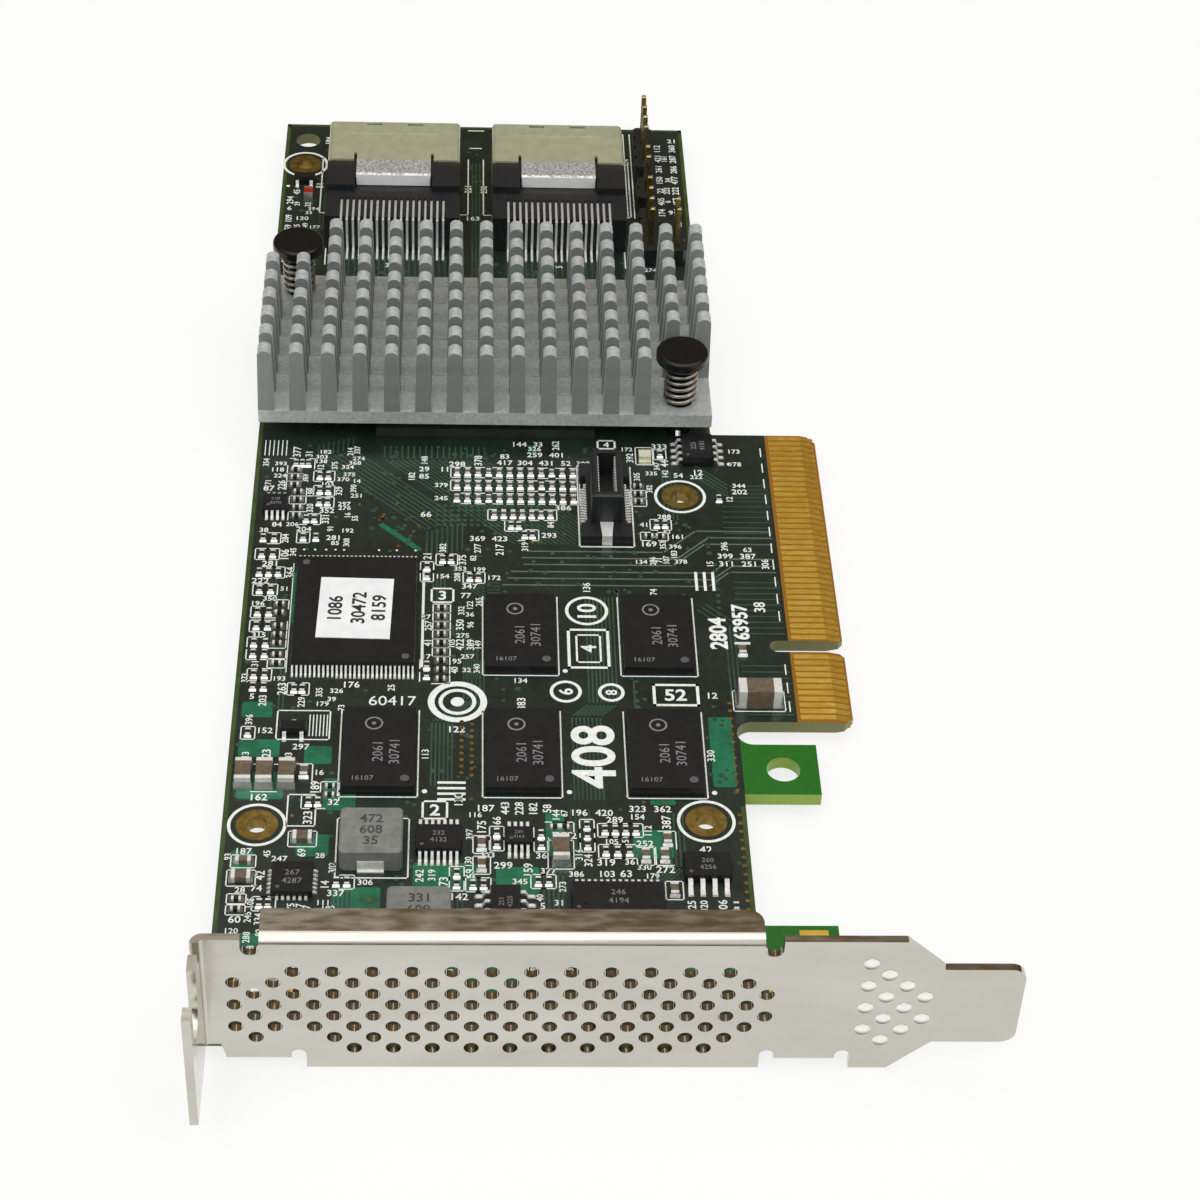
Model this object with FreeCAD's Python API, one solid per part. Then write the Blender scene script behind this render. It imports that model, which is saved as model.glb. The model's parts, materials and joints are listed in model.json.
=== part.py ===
import FreeCAD, Part
import math
import os

# Low-profile drive controller card, component side up.
# The drawing frame has X across the board from its plain long edge towards the gold contacts,
# Y along the board from its bracket end, and Z up from the component side of the laminate.
# Every piece is moved at the end so that the origin is the middle of the card's footprint, at its
# lowest point. All sizes are in millimetres.

# ---- circuit board ----------------------------------------------------------------------------
BOARD_LENGTH = 167.65
BOARD_WIDTH = 55.9
LAYOUT_WIDTH = 55.9           # board width that the loose parts' places are drawn for
BOARD_THICKNESS = 1.57
CONTACT_REACH = 13.0          # contact tongue beyond the long edge
KEY_SLOT_Y = 57.9             # middle of the key slot
KEY_SLOT_WIDTH = 1.9
KEY_SLOT_DEPTH = 8.5
LONG_TONGUE = 38.2
SHORT_TONGUE = 11.65
HOOK_SLOT_WIDTH = 3.6         # round-ended slot that the socket's latch snaps into
HOOK_SLOT_BITE = 0.2          # how far that slot runs into the board
LATCH_TAB_WIDTH = 7.75
SIDE_TAB_REACH = 8.4          # latch tab and bracket leg beyond the long edge
LATCH_HOLE_D = 3.7
LATCH_HOLE_INSET = 3.9        # from the tab's outer end
LEG_WIDTH = 14.85
BEVEL_LENGTH = 1.9
BEVEL_DEPTH = 0.42
TONGUE_CHAMFER = 1.0
CONTACT_PITCH = 1.0
CONTACT_WIDTH = 0.7
CONTACT_LENGTH = 5.9
CONTACT_TIP_GAP = 0.25
LONG_TONGUE_CONTACT_COUNT = 38
SHORT_TONGUE_CONTACT_COUNT = 11
COPPER = 0.04                 # pads stand this proud of the laminate
PLATED_BORE_D = 2.3
PLATED_PAD_D = 4.5
PLATED_LEFT_INSET = 3.7        # plated holes from the board's long edges
PLATED_RIGHT_INSET = 4.4
PLATED_FAR_INSET = 3.0
PLATED_FAR_FROM_END = 10.45
PLATED_NEAR_LEFT_Y = 28.95
PLATED_NEAR_RIGHT_Y = 29.8
PLATED_MIDDLE_Y = 84.8
CORNER_HOLE_D = 3.4
CORNER_HOLE_INSET = 3.1
CORNER_HOLE_FROM_END = 4.15

# ---- slot bracket -----------------------------------------------------------------------------
SHEET = 0.86
BEND_INSIDE = 0.35
BOARD_GAP = 0.5               # board end to the bracket's inner face
BRACKET_LEFT = -0.3           # outer face of the screw tab
BRACKET_HEIGHT = 80.5         # screw tab's outer face to the tongue's end
BRACKET_TOP = 15.43
BRACKET_DEPTH = 18.47         # card thickness direction
SCREW_TAB_REACH = 10.9        # beyond the bracket's inner face
SCREW_TAB_LOW = 0.4
SCREW_SLOT_WIDTH = 4.4
SCREW_SLOT_DEPTH = 6.3
SCREW_SLOT_FROM_END = 1.7
TAB_NOTCH_WIDTH = 1.5
TAB_NOTCH_DEPTH = 2.3
TONGUE_LOW = 0.9
TONGUE_WIDTH = 10.6
TONGUE_LENGTH = 7.9
TONGUE_CORNER = 1.5
SHOULDER_RUN = 4.1            # length of the sloping shoulders
LOWER_SHOULDER_SHIFT = 0.4
FLANGE_LEFT = 6.2
FLANGE_LENGTH = 48.3
FLANGE_REACH = 4.16           # from the bracket's outer face
FLANGE_CORNER = 1.6
RELIEF_D = 1.8
BOARD_TAB_LENGTH = 12.0
LEFT_TAB_START = 2.4
LEFT_TAB_WIDTH = 6.4
LEFT_TAB_SLOPE = 0.4
RIGHT_TAB_TO_END = 23.7         # right tab's near side to the tongue's end
RIGHT_TAB_WIDTH = 6.0
TAB_RELIEF_D = 1.5
TAB_SCREW_Y = 6.5             # board screws from the board's end
VENT_D = 1.5
VENT_PITCH = 3.82
VENT_ROW_PITCH = 1.593
VENT_FIRST_X = 3.55
VENT_TOP_Z = 11.0
VENT_COLUMN_COUNT = 14
DIMPLE_D = 1.6
DIMPLE_HEIGHT = 0.3
DIMPLE_PITCH = 1.9
DIMPLES_TO_END = 15.3          # first dimple column to the tongue's end
DIMPLE_TOP_Z = 12.3

# ---- board screws -----------------------------------------------------------------------------
SCREW_D = 2.9
SCREW_HOLE_CLEARANCE = 0.15
SCREW_HEAD_D = 5.4
SCREW_HEAD_HEIGHT = 1.9
SCREW_CROSS_WIDTH = 0.8
SCREW_CROSS_LENGTH = 3.2
SCREW_CROSS_DEPTH = 1.0
SCREW_PAD_MARGIN = 0.4        # bare copper round each head
LEG_STRIP_WIDTH = 3.0          # bare copper strip along the board's leg
LEG_STRIP_INSET = 1.1
LEG_STRIP_END_GAP = 0.65

# ---- processor and heatsink ---------------------------------------------------------------------
PROCESSOR_SIDE = 27.0
PROCESSOR_BASE = 1.2
PROCESSOR_LID_SIDE = 24.0
PROCESSOR_LID_CORNER = 1.0
PROCESSOR_LID = 1.1
THERMAL_PAD_SIDE = 22.0
THERMAL_PAD_HEIGHT = 0.3
PIN_COLUMN_COUNT = 15
PIN_ROW_COUNT = 8
PIN_PITCH = 3.83
PIN_FOOT = 2.0
PIN_TIP = 1.6
PIN_LENGTH = 2.0
PIN_TOP = 13.3
PIN_CROWN = 0.5               # height of the rounded pin top
SINK_BASE = 1.8
CROSS_CUT_BITE = 0.1
FREE_COLUMN_COUNT = 2              # pins left out at two corners for the push pins
FREE_ROW_COUNT = 2

# ---- push pins ----------------------------------------------------------------------------------
PUSH_PIN_INSET_X = 3.9
PUSH_PIN_INSET_Y = 3.1
PUSH_PIN_D = 2.8
PUSH_PIN_CLEARANCE = 0.15
PUSH_PIN_HEAD_D = 6.4
PUSH_PIN_HEAD = 1.2
PUSH_PIN_NECK_D = 3.8
PUSH_PIN_CONE = 1.2
PUSH_PIN_TOP = 12.0
BARB_D = 3.6
BARB_TIP_D = 1.8
BARB_SLOT = 0.6
BARB_SLOT_LENGTH = 4.0
SPRING_WIRE = 0.5
SPRING_MEAN_D = 3.6
SPRING_TURN_COUNT = 5

# ---- drive connectors ---------------------------------------------------------------------------
FAR_LEFT_ZONE = 5.25          # kept for the plated hole beside the first connector
FIRST_PORT_SHARE = 0.169      # shares of the free width before each connector
SECOND_PORT_SHARE = 0.571
PORT_SETBACK = 9.55           # mouth to the board's far end
SHELL_WIDTH = 17.9
SHELL_LENGTH = 9.4
SHELL_TOP = 6.5
SHELL_SHEET = 0.3
SHELL_LOW = 0.15
SHELL_CORNER = 0.6
SHELL_SLOT_X = 2.8
SHELL_SLOT_WIDTH = 2.1
SHELL_SLOT_LENGTH = 0.5
SHELL_SLOT_SETBACK = 0.6
SHELL_RIB_WIDTH = 12.0
SHELL_RIB = 0.4
SHELL_RIB_HEIGHT = 0.12
SHELL_RIB_SETBACK = 2.6
SHELL_LEG_WIDTH = 1.2
SHELL_LEG_DEPTH = 2.3
SHELL_LEG_CLEARANCE = 0.2
SHELL_LEG_SETBACKS = (2.2, 7.2)
LATCH_WIDTH = 10.0            # tongue of the shell that laps over the housing
LATCH_LENGTH = 3.8
LATCH_LIP = 1.7
LATCH_NOTCH = 0.4
LATCH_NOTCH_LENGTH = 1.6
LATCH_POCKET_LENGTH = 2.0     # room in the housing behind the lapping tongue
LATCH_POCKET_CLEARANCE = 0.1
HOUSING_LENGTH = 12.9         # rear face to the wall at the back of the socket
HOUSING_SIDE_CLEARANCE = 0.05
HOUSING_STEP_LENGTH = 6.2
HOUSING_STEP_TOP = 5.2
HOUSING_LOW = 0.1
HOUSING_OVERLAP = 0.9         # how far the housing reaches into the shell
SOCKET_BLOCK_WIDTH = 15.4
SOCKET_BLOCK_LOW = 1.7
SOCKET_BLOCK_HEIGHT = 3.2
SOCKET_BLOCK_LENGTH = 2.4
CARD_SLOT_WIDTH = 14.4
CARD_SLOT_HEIGHT = 1.1
PORT_LEAD_COUNT = 18
PORT_LEAD_PITCH = 0.8
PORT_LEAD_WIDTH = 0.3
PORT_LEAD_SHEET = 0.2
PORT_FOOT = 2.6
LEAD_GROOVE_WIDTH = 0.4
LEAD_GROOVE_LENGTH = 4.6
LEAD_GROOVE_DEPTH = 0.6

# ---- pin headers --------------------------------------------------------------------------------
HEADER_PITCH = 2.54
HEADER_BASE = 2.5
HEADER_BASE_HEIGHT = 2.5
HEADER_CORNER = 0.4
HEADER_POINT = 0.16           # chamfer at both ends of a pin
HEADER_PIN = 0.64
HEADER_PIN_TOP = 8.5
HEADER_TAIL = 1.0
HEADER_HOLE_D = 1.05
HEADER_EDGE_GAP = 1.15        # outer line of bases to the contact-side edge
HEADER_LINE_GAP = 3.5
LONG_HEADER_PIN_COUNT = 4
SHORT_HEADER_PIN_COUNT = 2

# ---- board-to-board connector --------------------------------------------------------------------
MEZZ_PLACE = 42.35            # drawn place across the board
MEZZ_GAP_SHARE = 0.3955       # share of the free length in front of it
SINK_GAP_SHARE = 0.219        # and between it and the heatsink
MEZZ_BASE_WIDTH = 6.1
MEZZ_BASE_LENGTH = 13.9
MEZZ_BASE_HEIGHT = 1.3
MEZZ_BODY_WIDTH = 3.7
MEZZ_BODY_LENGTH = 8.9
MEZZ_TOP = 5.5
MEZZ_WELL_WIDTH = 2.2
MEZZ_WELL_LENGTH = 7.3
MEZZ_WELL_DEPTH = 3.4
MEZZ_CONTACT_COUNT = 14
MEZZ_PITCH = 0.5
MEZZ_LEAD_WIDTH = 0.25
MEZZ_LEAD_REACH = 0.75
MEZZ_CONTACT_SHEET = 0.15
MEZZ_CLIP_WIDTH = 1.6
MEZZ_CLIP_END_WIDTH = 1.2
MEZZ_CLIP_TAPER = 2.3
MEZZ_RIM_CHAMFER = 0.25
MEZZ_KNEE = 0.9               # height at which the contacts leave the housing
MEZZ_CONTACT_DROP = 0.3       # contact tops below the rim

# ---- chips --------------------------------------------------------------------------------------
MEMORY_WIDTH = 8.0
MEMORY_LENGTH = 12.5
MEMORY_HEIGHT = 1.2
MEMORY_SUBSTRATE = 0.3
MEMORY_COLUMNS = (16.3, 31.9, 47.5)
MEMORY_FRONT_Y = 39.85
MEMORY_ROW_GAP = 19.2
FLASH_PLACE = 13.0
FLASH_Y = 62.5
FLASH_WIDTH = 14.0
FLASH_LENGTH = 18.4
FLASH_HEIGHT = 1.2
FLASH_LEAD_COUNT = 28
FLASH_LEAD_PITCH = 0.5
FLASH_LEAD_WIDTH = 0.22
FLASH_LEAD_REACH = 1.3
LABEL_WIDTH = 8.4
LABEL_LENGTH = 10.4
LABEL_THICKNESS = 0.08
LABEL_TURN = -1.5             # degrees
CHIP_STANDOFF = 0.1
CHIP_DRAFT = 0.1
DOT_D = 0.7
DOT_DEPTH = 0.06
LEAD_SHEET = 0.15
CONTROLLER_PAD_HEIGHT = 0.2

# ---- inductors, capacitors and resistors -----------------------------------------------------------
INDUCTOR_SIDE = 6.6
INDUCTOR_HEIGHT = 2.8
INDUCTOR_CORNER = 0.6
INDUCTOR_CHAMFER = 0.15
INDUCTOR_TERMINAL_WIDTH = 2.8
INDUCTOR_TERMINAL_FOOT = 0.4
TERMINAL_PROUD = 0.02         # end caps stand this proud of a ceramic body
ARRAY_PITCH = 1.28
ARRAY_ROW_PITCH = 2.5

# ---- values that follow from the sizes above ---------------------------------------------------
CONTACT_EDGE = BOARD_WIDTH + CONTACT_REACH
SIDE_TAB_EDGE = BOARD_WIDTH + SIDE_TAB_REACH
LONG_TONGUE_START = KEY_SLOT_Y + KEY_SLOT_WIDTH / 2
LONG_TONGUE_END = LONG_TONGUE_START + LONG_TONGUE
SHORT_TONGUE_END = KEY_SLOT_Y - KEY_SLOT_WIDTH / 2
SHORT_TONGUE_START = SHORT_TONGUE_END - SHORT_TONGUE
LATCH_TAB_END = SHORT_TONGUE_START - HOOK_SLOT_WIDTH
LATCH_TAB_START = LATCH_TAB_END - LATCH_TAB_WIDTH
LATCH_HOLE_X = SIDE_TAB_EDGE - LATCH_HOLE_INSET
LATCH_HOLE_Y = (LATCH_TAB_START + LATCH_TAB_END) / 2
BRACKET_IN = -BOARD_GAP
BRACKET_OUT = BRACKET_IN - SHEET
BEND_OUTSIDE = BEND_INSIDE + SHEET
BRACKET_BOTTOM = BRACKET_TOP - BRACKET_DEPTH
BRACKET_RIGHT = BRACKET_LEFT + BRACKET_HEIGHT
SCREW_TAB_END = BRACKET_IN - SCREW_TAB_REACH
FLANGE_RIGHT = FLANGE_LEFT + FLANGE_LENGTH
LEFT_TAB_END = LEFT_TAB_START + LEFT_TAB_WIDTH
RIGHT_TAB_START = BRACKET_RIGHT - RIGHT_TAB_TO_END
RIGHT_TAB_END = RIGHT_TAB_START + RIGHT_TAB_WIDTH
DIMPLE_FIRST_X = BRACKET_RIGHT - DIMPLES_TO_END
TAB_SCREW_XS = ((LEFT_TAB_START + LEFT_TAB_END) / 2, (RIGHT_TAB_START + RIGHT_TAB_END) / 2)
SINK_WIDTH = (PIN_COLUMN_COUNT - 1) * PIN_PITCH + PIN_FOOT
SINK_LENGTH = (PIN_ROW_COUNT - 1) * PIN_PITCH + PIN_LENGTH
SINK_LEFT = (BOARD_WIDTH - SINK_WIDTH) / 2
SINK_LOW = PROCESSOR_BASE + PROCESSOR_LID + THERMAL_PAD_HEIGHT
SINK_DECK = SINK_LOW + SINK_BASE
HEADER_X = BOARD_WIDTH - HEADER_EDGE_GAP - HEADER_BASE / 2 - HEADER_LINE_GAP
FREE_WIDTH = HEADER_X - HEADER_BASE / 2 - FAR_LEFT_ZONE - 2 * SHELL_WIDTH
FIRST_PORT_X = FAR_LEFT_ZONE + FIRST_PORT_SHARE * FREE_WIDTH + SHELL_WIDTH / 2
PORT_XS = (FIRST_PORT_X, FIRST_PORT_X + SHELL_WIDTH + SECOND_PORT_SHARE * FREE_WIDTH)
PORT_MOUTH = BOARD_LENGTH - PORT_SETBACK
SHELL_BACK = PORT_MOUTH - SHELL_LENGTH
HOUSING_WALL = SHELL_BACK + HOUSING_OVERLAP
HOUSING_REAR = HOUSING_WALL - HOUSING_LENGTH
LATCH_END = SHELL_BACK - LATCH_LENGTH
MEMORY_BACK = MEMORY_FRONT_Y + MEMORY_ROW_GAP + MEMORY_LENGTH / 2
FREE_LENGTH = HOUSING_REAR - PORT_FOOT - MEMORY_BACK - MEZZ_BASE_LENGTH - SINK_LENGTH
MEZZ_Y = MEMORY_BACK + MEZZ_GAP_SHARE * FREE_LENGTH + MEZZ_BASE_LENGTH / 2
SINK_FRONT = MEZZ_Y + MEZZ_BASE_LENGTH / 2 + SINK_GAP_SHARE * FREE_LENGTH
PROCESSOR_Y = SINK_FRONT + SINK_LENGTH / 2
PUSH_PINS = (
    (SINK_LEFT + SINK_WIDTH - PUSH_PIN_INSET_X, SINK_FRONT + PUSH_PIN_INSET_Y),
    (SINK_LEFT + PUSH_PIN_INSET_X, SINK_FRONT + SINK_LENGTH - PUSH_PIN_INSET_Y),
)
HEADER_LINES = (
    # x, first y, pins
    (HEADER_X, BOARD_LENGTH - 32.7, LONG_HEADER_PIN_COUNT),
    (HEADER_X, BOARD_LENGTH - 20.0, SHORT_HEADER_PIN_COUNT),
    (HEADER_X, BOARD_LENGTH - 12.4, LONG_HEADER_PIN_COUNT),
    (HEADER_X + HEADER_LINE_GAP, BOARD_LENGTH - 32.7, SHORT_HEADER_PIN_COUNT),
)
PLATED_HOLES = (
    (PLATED_LEFT_INSET, PLATED_NEAR_LEFT_Y),
    (BOARD_WIDTH - PLATED_RIGHT_INSET, PLATED_NEAR_RIGHT_Y),
    (BOARD_WIDTH - PLATED_RIGHT_INSET, PLATED_MIDDLE_Y),
    (PLATED_FAR_INSET, BOARD_LENGTH - PLATED_FAR_FROM_END),
)
# The footprint's middle and the lowest point, where the finished card has its origin.
ORIGIN = FreeCAD.Vector(
    (BRACKET_LEFT + BRACKET_RIGHT) / 2, (SCREW_TAB_END + BOARD_LENGTH) / 2, BRACKET_BOTTOM
)


def across(x):
    """Place across the board of a part drawn at x on a board LAYOUT_WIDTH wide."""
    return x * BOARD_WIDTH / LAYOUT_WIDTH


MEZZ_X = across(MEZZ_PLACE)
FLASH_X = across(FLASH_PLACE)
# The front row has three chips and the rear row two.
MEMORY_PLACES = (
    [(across(x), MEMORY_FRONT_Y) for x in MEMORY_COLUMNS]
    + [(across(x), MEMORY_FRONT_Y + MEMORY_ROW_GAP) for x in MEMORY_COLUMNS[1:]]
)


# ---- small building functions -------------------------------------------------------------------
def vec(x, y, z):
    return FreeCAD.Vector(x, y, z)


def block(x0, x1, y0, y1, z0, z1):
    return Part.makeBox(x1 - x0, y1 - y0, z1 - z0, vec(x0, y0, z0))


def centred_block(x, y, width, length, z0, z1):
    return block(x - width / 2, x + width / 2, y - length / 2, y + length / 2, z0, z1)


def rod(x, y, diameter, z0, z1):
    return Part.makeCylinder(diameter / 2, z1 - z0, vec(x, y, z0))


def rounded_face(corners, place):
    """Face inside an outline of (a, b, corner radius); place turns (a, b) into a point."""
    points = [place(a, b) for a, b, _ in corners]
    edges = []
    starts = []
    ends = []
    middles = []
    for i, (_, _, radius) in enumerate(corners):
        here = points[i]
        back = points[i - 1] - here
        ahead = points[(i + 1) % len(points)] - here
        if radius == 0:
            starts.append(here)
            ends.append(here)
            middles.append(None)
            continue
        back.normalize()
        ahead.normalize()
        half = back.getAngle(ahead) / 2
        bisector = (back + ahead).normalize()
        reach = radius / math.tan(half)
        centre = here + bisector * (radius / math.sin(half))
        starts.append(here + back * reach)
        ends.append(here + ahead * reach)
        middles.append(centre - bisector * radius)
    for i, middle in enumerate(middles):
        if middle is not None:
            edges.append(Part.Arc(starts[i], middle, ends[i]).toShape())
        nearest = starts[(i + 1) % len(points)]
        if ends[i].distanceToPoint(nearest) > 1e-6:
            edges.append(Part.LineSegment(ends[i], nearest).toShape())
    return Part.Face(Part.Wire(edges))


def plate(corners, z0, z1):
    """Plate with an outline in X and Y."""
    return rounded_face(corners, lambda a, b: vec(a, b, z0)).extrude(vec(0, 0, z1 - z0))


def bar_along_x(corners, x0, x1):
    """Bar with a section of (y, z, corner radius)."""
    return rounded_face(corners, lambda a, b: vec(x0, a, b)).extrude(vec(x1 - x0, 0, 0))


def bar_along_y(corners, y0, y1):
    """Bar with a section of (x, z, corner radius)."""
    return rounded_face(corners, lambda a, b: vec(a, y0, b)).extrude(vec(0, y1 - y0, 0))


def sharp(points):
    return [(a, b, 0) for a, b in points]


def turned(points, x, y):
    """Solid of revolution about a vertical axis, from (radius, z) points."""
    corners = [vec(x + r, y, z) for r, z in points]
    face = Part.Face(Part.makePolygon(corners + corners[:1]))
    return face.revolve(vec(x, y, 0), vec(0, 0, 1), 360)


def joined(first, others):
    return first.multiFuse(others).removeSplitter()


def save(node, solids):
    """Writes one named piece, or a group of like pieces, in the finished card's frame."""
    shape = solids[0] if len(solids) == 1 else Part.makeCompound(solids)
    shape = shape.copy()
    shape.translate(-ORIGIN)
    shape.exportStep("parts/" + node + ".step")


# ---- circuit board -------------------------------------------------------------------------------
def contact_ys():
    """Middles of the contacts, centred on the short and on the long tongue."""
    places = []
    for middle, count in (
        ((SHORT_TONGUE_START + SHORT_TONGUE_END) / 2, SHORT_TONGUE_CONTACT_COUNT),
        ((LONG_TONGUE_START + LONG_TONGUE_END) / 2, LONG_TONGUE_CONTACT_COUNT),
    ):
        for i in range(count):
            places.append(middle + (i - (count - 1) / 2) * CONTACT_PITCH)
    return places


def shell_leg_ys():
    return [PORT_MOUTH - setback for setback in SHELL_LEG_SETBACKS]


def shell_leg_slots():
    """Board slots for the drive connectors' shell legs."""
    slots = []
    for port_x in PORT_XS:
        for side in (-1, 1):
            x = port_x + side * (SHELL_WIDTH - SHELL_SHEET) / 2
            for y in shell_leg_ys():
                slots.append(centred_block(
                    x, y, SHELL_SHEET + 2 * SHELL_LEG_CLEARANCE,
                    SHELL_LEG_WIDTH + 2 * SHELL_LEG_CLEARANCE, -BOARD_THICKNESS - 1, 1))
    return slots


def header_pin_places():
    places = []
    for x, first_y, count in HEADER_LINES:
        for i in range(count):
            places.append((x, first_y + i * HEADER_PITCH))
    return places


def circuit_board():
    slot_end = CONTACT_EDGE - KEY_SLOT_DEPTH
    hook_end = BOARD_WIDTH - HOOK_SLOT_BITE
    hook_r = HOOK_SLOT_WIDTH / 2
    key_r = KEY_SLOT_WIDTH / 2
    edge = CONTACT_EDGE
    chamfer = TONGUE_CHAMFER
    outline = [
        (0, 0, 0),
        (SIDE_TAB_EDGE, 0, 0),
        (SIDE_TAB_EDGE, LEG_WIDTH, 0),
        (BOARD_WIDTH, LEG_WIDTH, 0),
        (BOARD_WIDTH, LATCH_TAB_START, 0),
        (SIDE_TAB_EDGE, LATCH_TAB_START, 0),
        (SIDE_TAB_EDGE, LATCH_TAB_END, 0),
        (hook_end, LATCH_TAB_END, hook_r),
        (hook_end, SHORT_TONGUE_START, hook_r),
        (edge - chamfer, SHORT_TONGUE_START, 0),
        (edge, SHORT_TONGUE_START + chamfer, 0),
        (edge, SHORT_TONGUE_END - chamfer / 2, 0),
        (edge - chamfer / 2, SHORT_TONGUE_END, 0),
        (slot_end, SHORT_TONGUE_END, key_r),
        (slot_end, LONG_TONGUE_START, key_r),
        (edge - chamfer / 2, LONG_TONGUE_START, 0),
        (edge, LONG_TONGUE_START + chamfer / 2, 0),
        (edge, LONG_TONGUE_END - chamfer, 0),
        (edge - chamfer, LONG_TONGUE_END, 0),
        (BOARD_WIDTH, LONG_TONGUE_END, 0),
        (BOARD_WIDTH, BOARD_LENGTH, 0),
        (0, BOARD_LENGTH, 0),
    ]
    board = plate(outline, -BOARD_THICKNESS, 0)

    low, high = -BOARD_THICKNESS - 1, 1
    cuts = [rod(x, y, PLATED_BORE_D, low, high) for x, y in PLATED_HOLES]
    cuts.append(rod(LATCH_HOLE_X, LATCH_HOLE_Y, LATCH_HOLE_D, low, high))
    cuts.append(rod(CORNER_HOLE_INSET, BOARD_LENGTH - CORNER_HOLE_FROM_END, CORNER_HOLE_D, low, high))
    for x, y in PUSH_PINS:
        cuts.append(rod(x, y, PUSH_PIN_D + 2 * PUSH_PIN_CLEARANCE, low, high))
    for x in TAB_SCREW_XS:
        cuts.append(rod(x, TAB_SCREW_Y, SCREW_D + 2 * SCREW_HOLE_CLEARANCE, low, high))
    for x, y in header_pin_places():
        cuts.append(rod(x, y, HEADER_HOLE_D, low, high))
    cuts += shell_leg_slots()

    # Both faces of the contact tongue are bevelled so that it slides into its socket.
    inner = edge - BEVEL_LENGTH
    beyond = edge + BEVEL_LENGTH
    for face_z, out in ((0, 1), (-BOARD_THICKNESS, -1)):
        wedge = [
            (inner, face_z),
            (inner, face_z + out),
            (beyond, face_z + out),
            (beyond, face_z - out * 2 * BEVEL_DEPTH),
        ]
        cuts.append(bar_along_y(sharp(wedge), SHORT_TONGUE_START - 1, LONG_TONGUE_END + 1))
    save("circuit_board", [board.cut(cuts)])


def edge_contacts():
    """Gold contacts on both faces, each running down the bevel."""
    tip = CONTACT_EDGE - CONTACT_TIP_GAP
    bend = CONTACT_EDGE - BEVEL_LENGTH
    start = CONTACT_EDGE - CONTACT_LENGTH
    drop = BEVEL_DEPTH * (tip - bend) / BEVEL_LENGTH
    solids = []
    for face_z, out in ((0, 1), (-BOARD_THICKNESS, -1)):
        section = [
            (start, face_z),
            (start, face_z + out * COPPER),
            (bend, face_z + out * COPPER),
            (tip, face_z + out * (COPPER - drop)),
            (tip, face_z - out * drop),
            (bend, face_z),
        ]
        for y in contact_ys():
            half = CONTACT_WIDTH / 2
            solids.append(bar_along_y(sharp(section), y - half, y + half))
    save("edge_contacts", solids)


def plated_pads():
    """Gold rings round the plated holes, on both faces of the board."""
    solids = []
    for x, y in PLATED_HOLES:
        for low in (0, -BOARD_THICKNESS - COPPER):
            ring = rod(x, y, PLATED_PAD_D, low, low + COPPER)
            solids.append(ring.cut(rod(x, y, PLATED_BORE_D, low - 1, low + 1)))
    save("plated_pads", solids)


def screw_pads():
    """Bare copper round the board screws; the one on the leg also runs along the leg."""
    solids = []
    hole_d = SCREW_D + 2 * SCREW_HOLE_CLEARANCE
    pad_d = SCREW_HEAD_D + 2 * SCREW_PAD_MARGIN
    for x in TAB_SCREW_XS:
        pad = rod(x, TAB_SCREW_Y, pad_d, 0, COPPER)
        if x > BOARD_WIDTH:
            strip_end = SIDE_TAB_EDGE - LEG_STRIP_INSET
            strip = block(strip_end - LEG_STRIP_WIDTH, strip_end, TAB_SCREW_Y,
                          LEG_WIDTH - LEG_STRIP_END_GAP, 0, COPPER)
            pad = joined(pad, [strip])
        solids.append(pad.cut(rod(x, TAB_SCREW_Y, hole_d, -1, 1)))
    save("screw_pads", solids)


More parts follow.
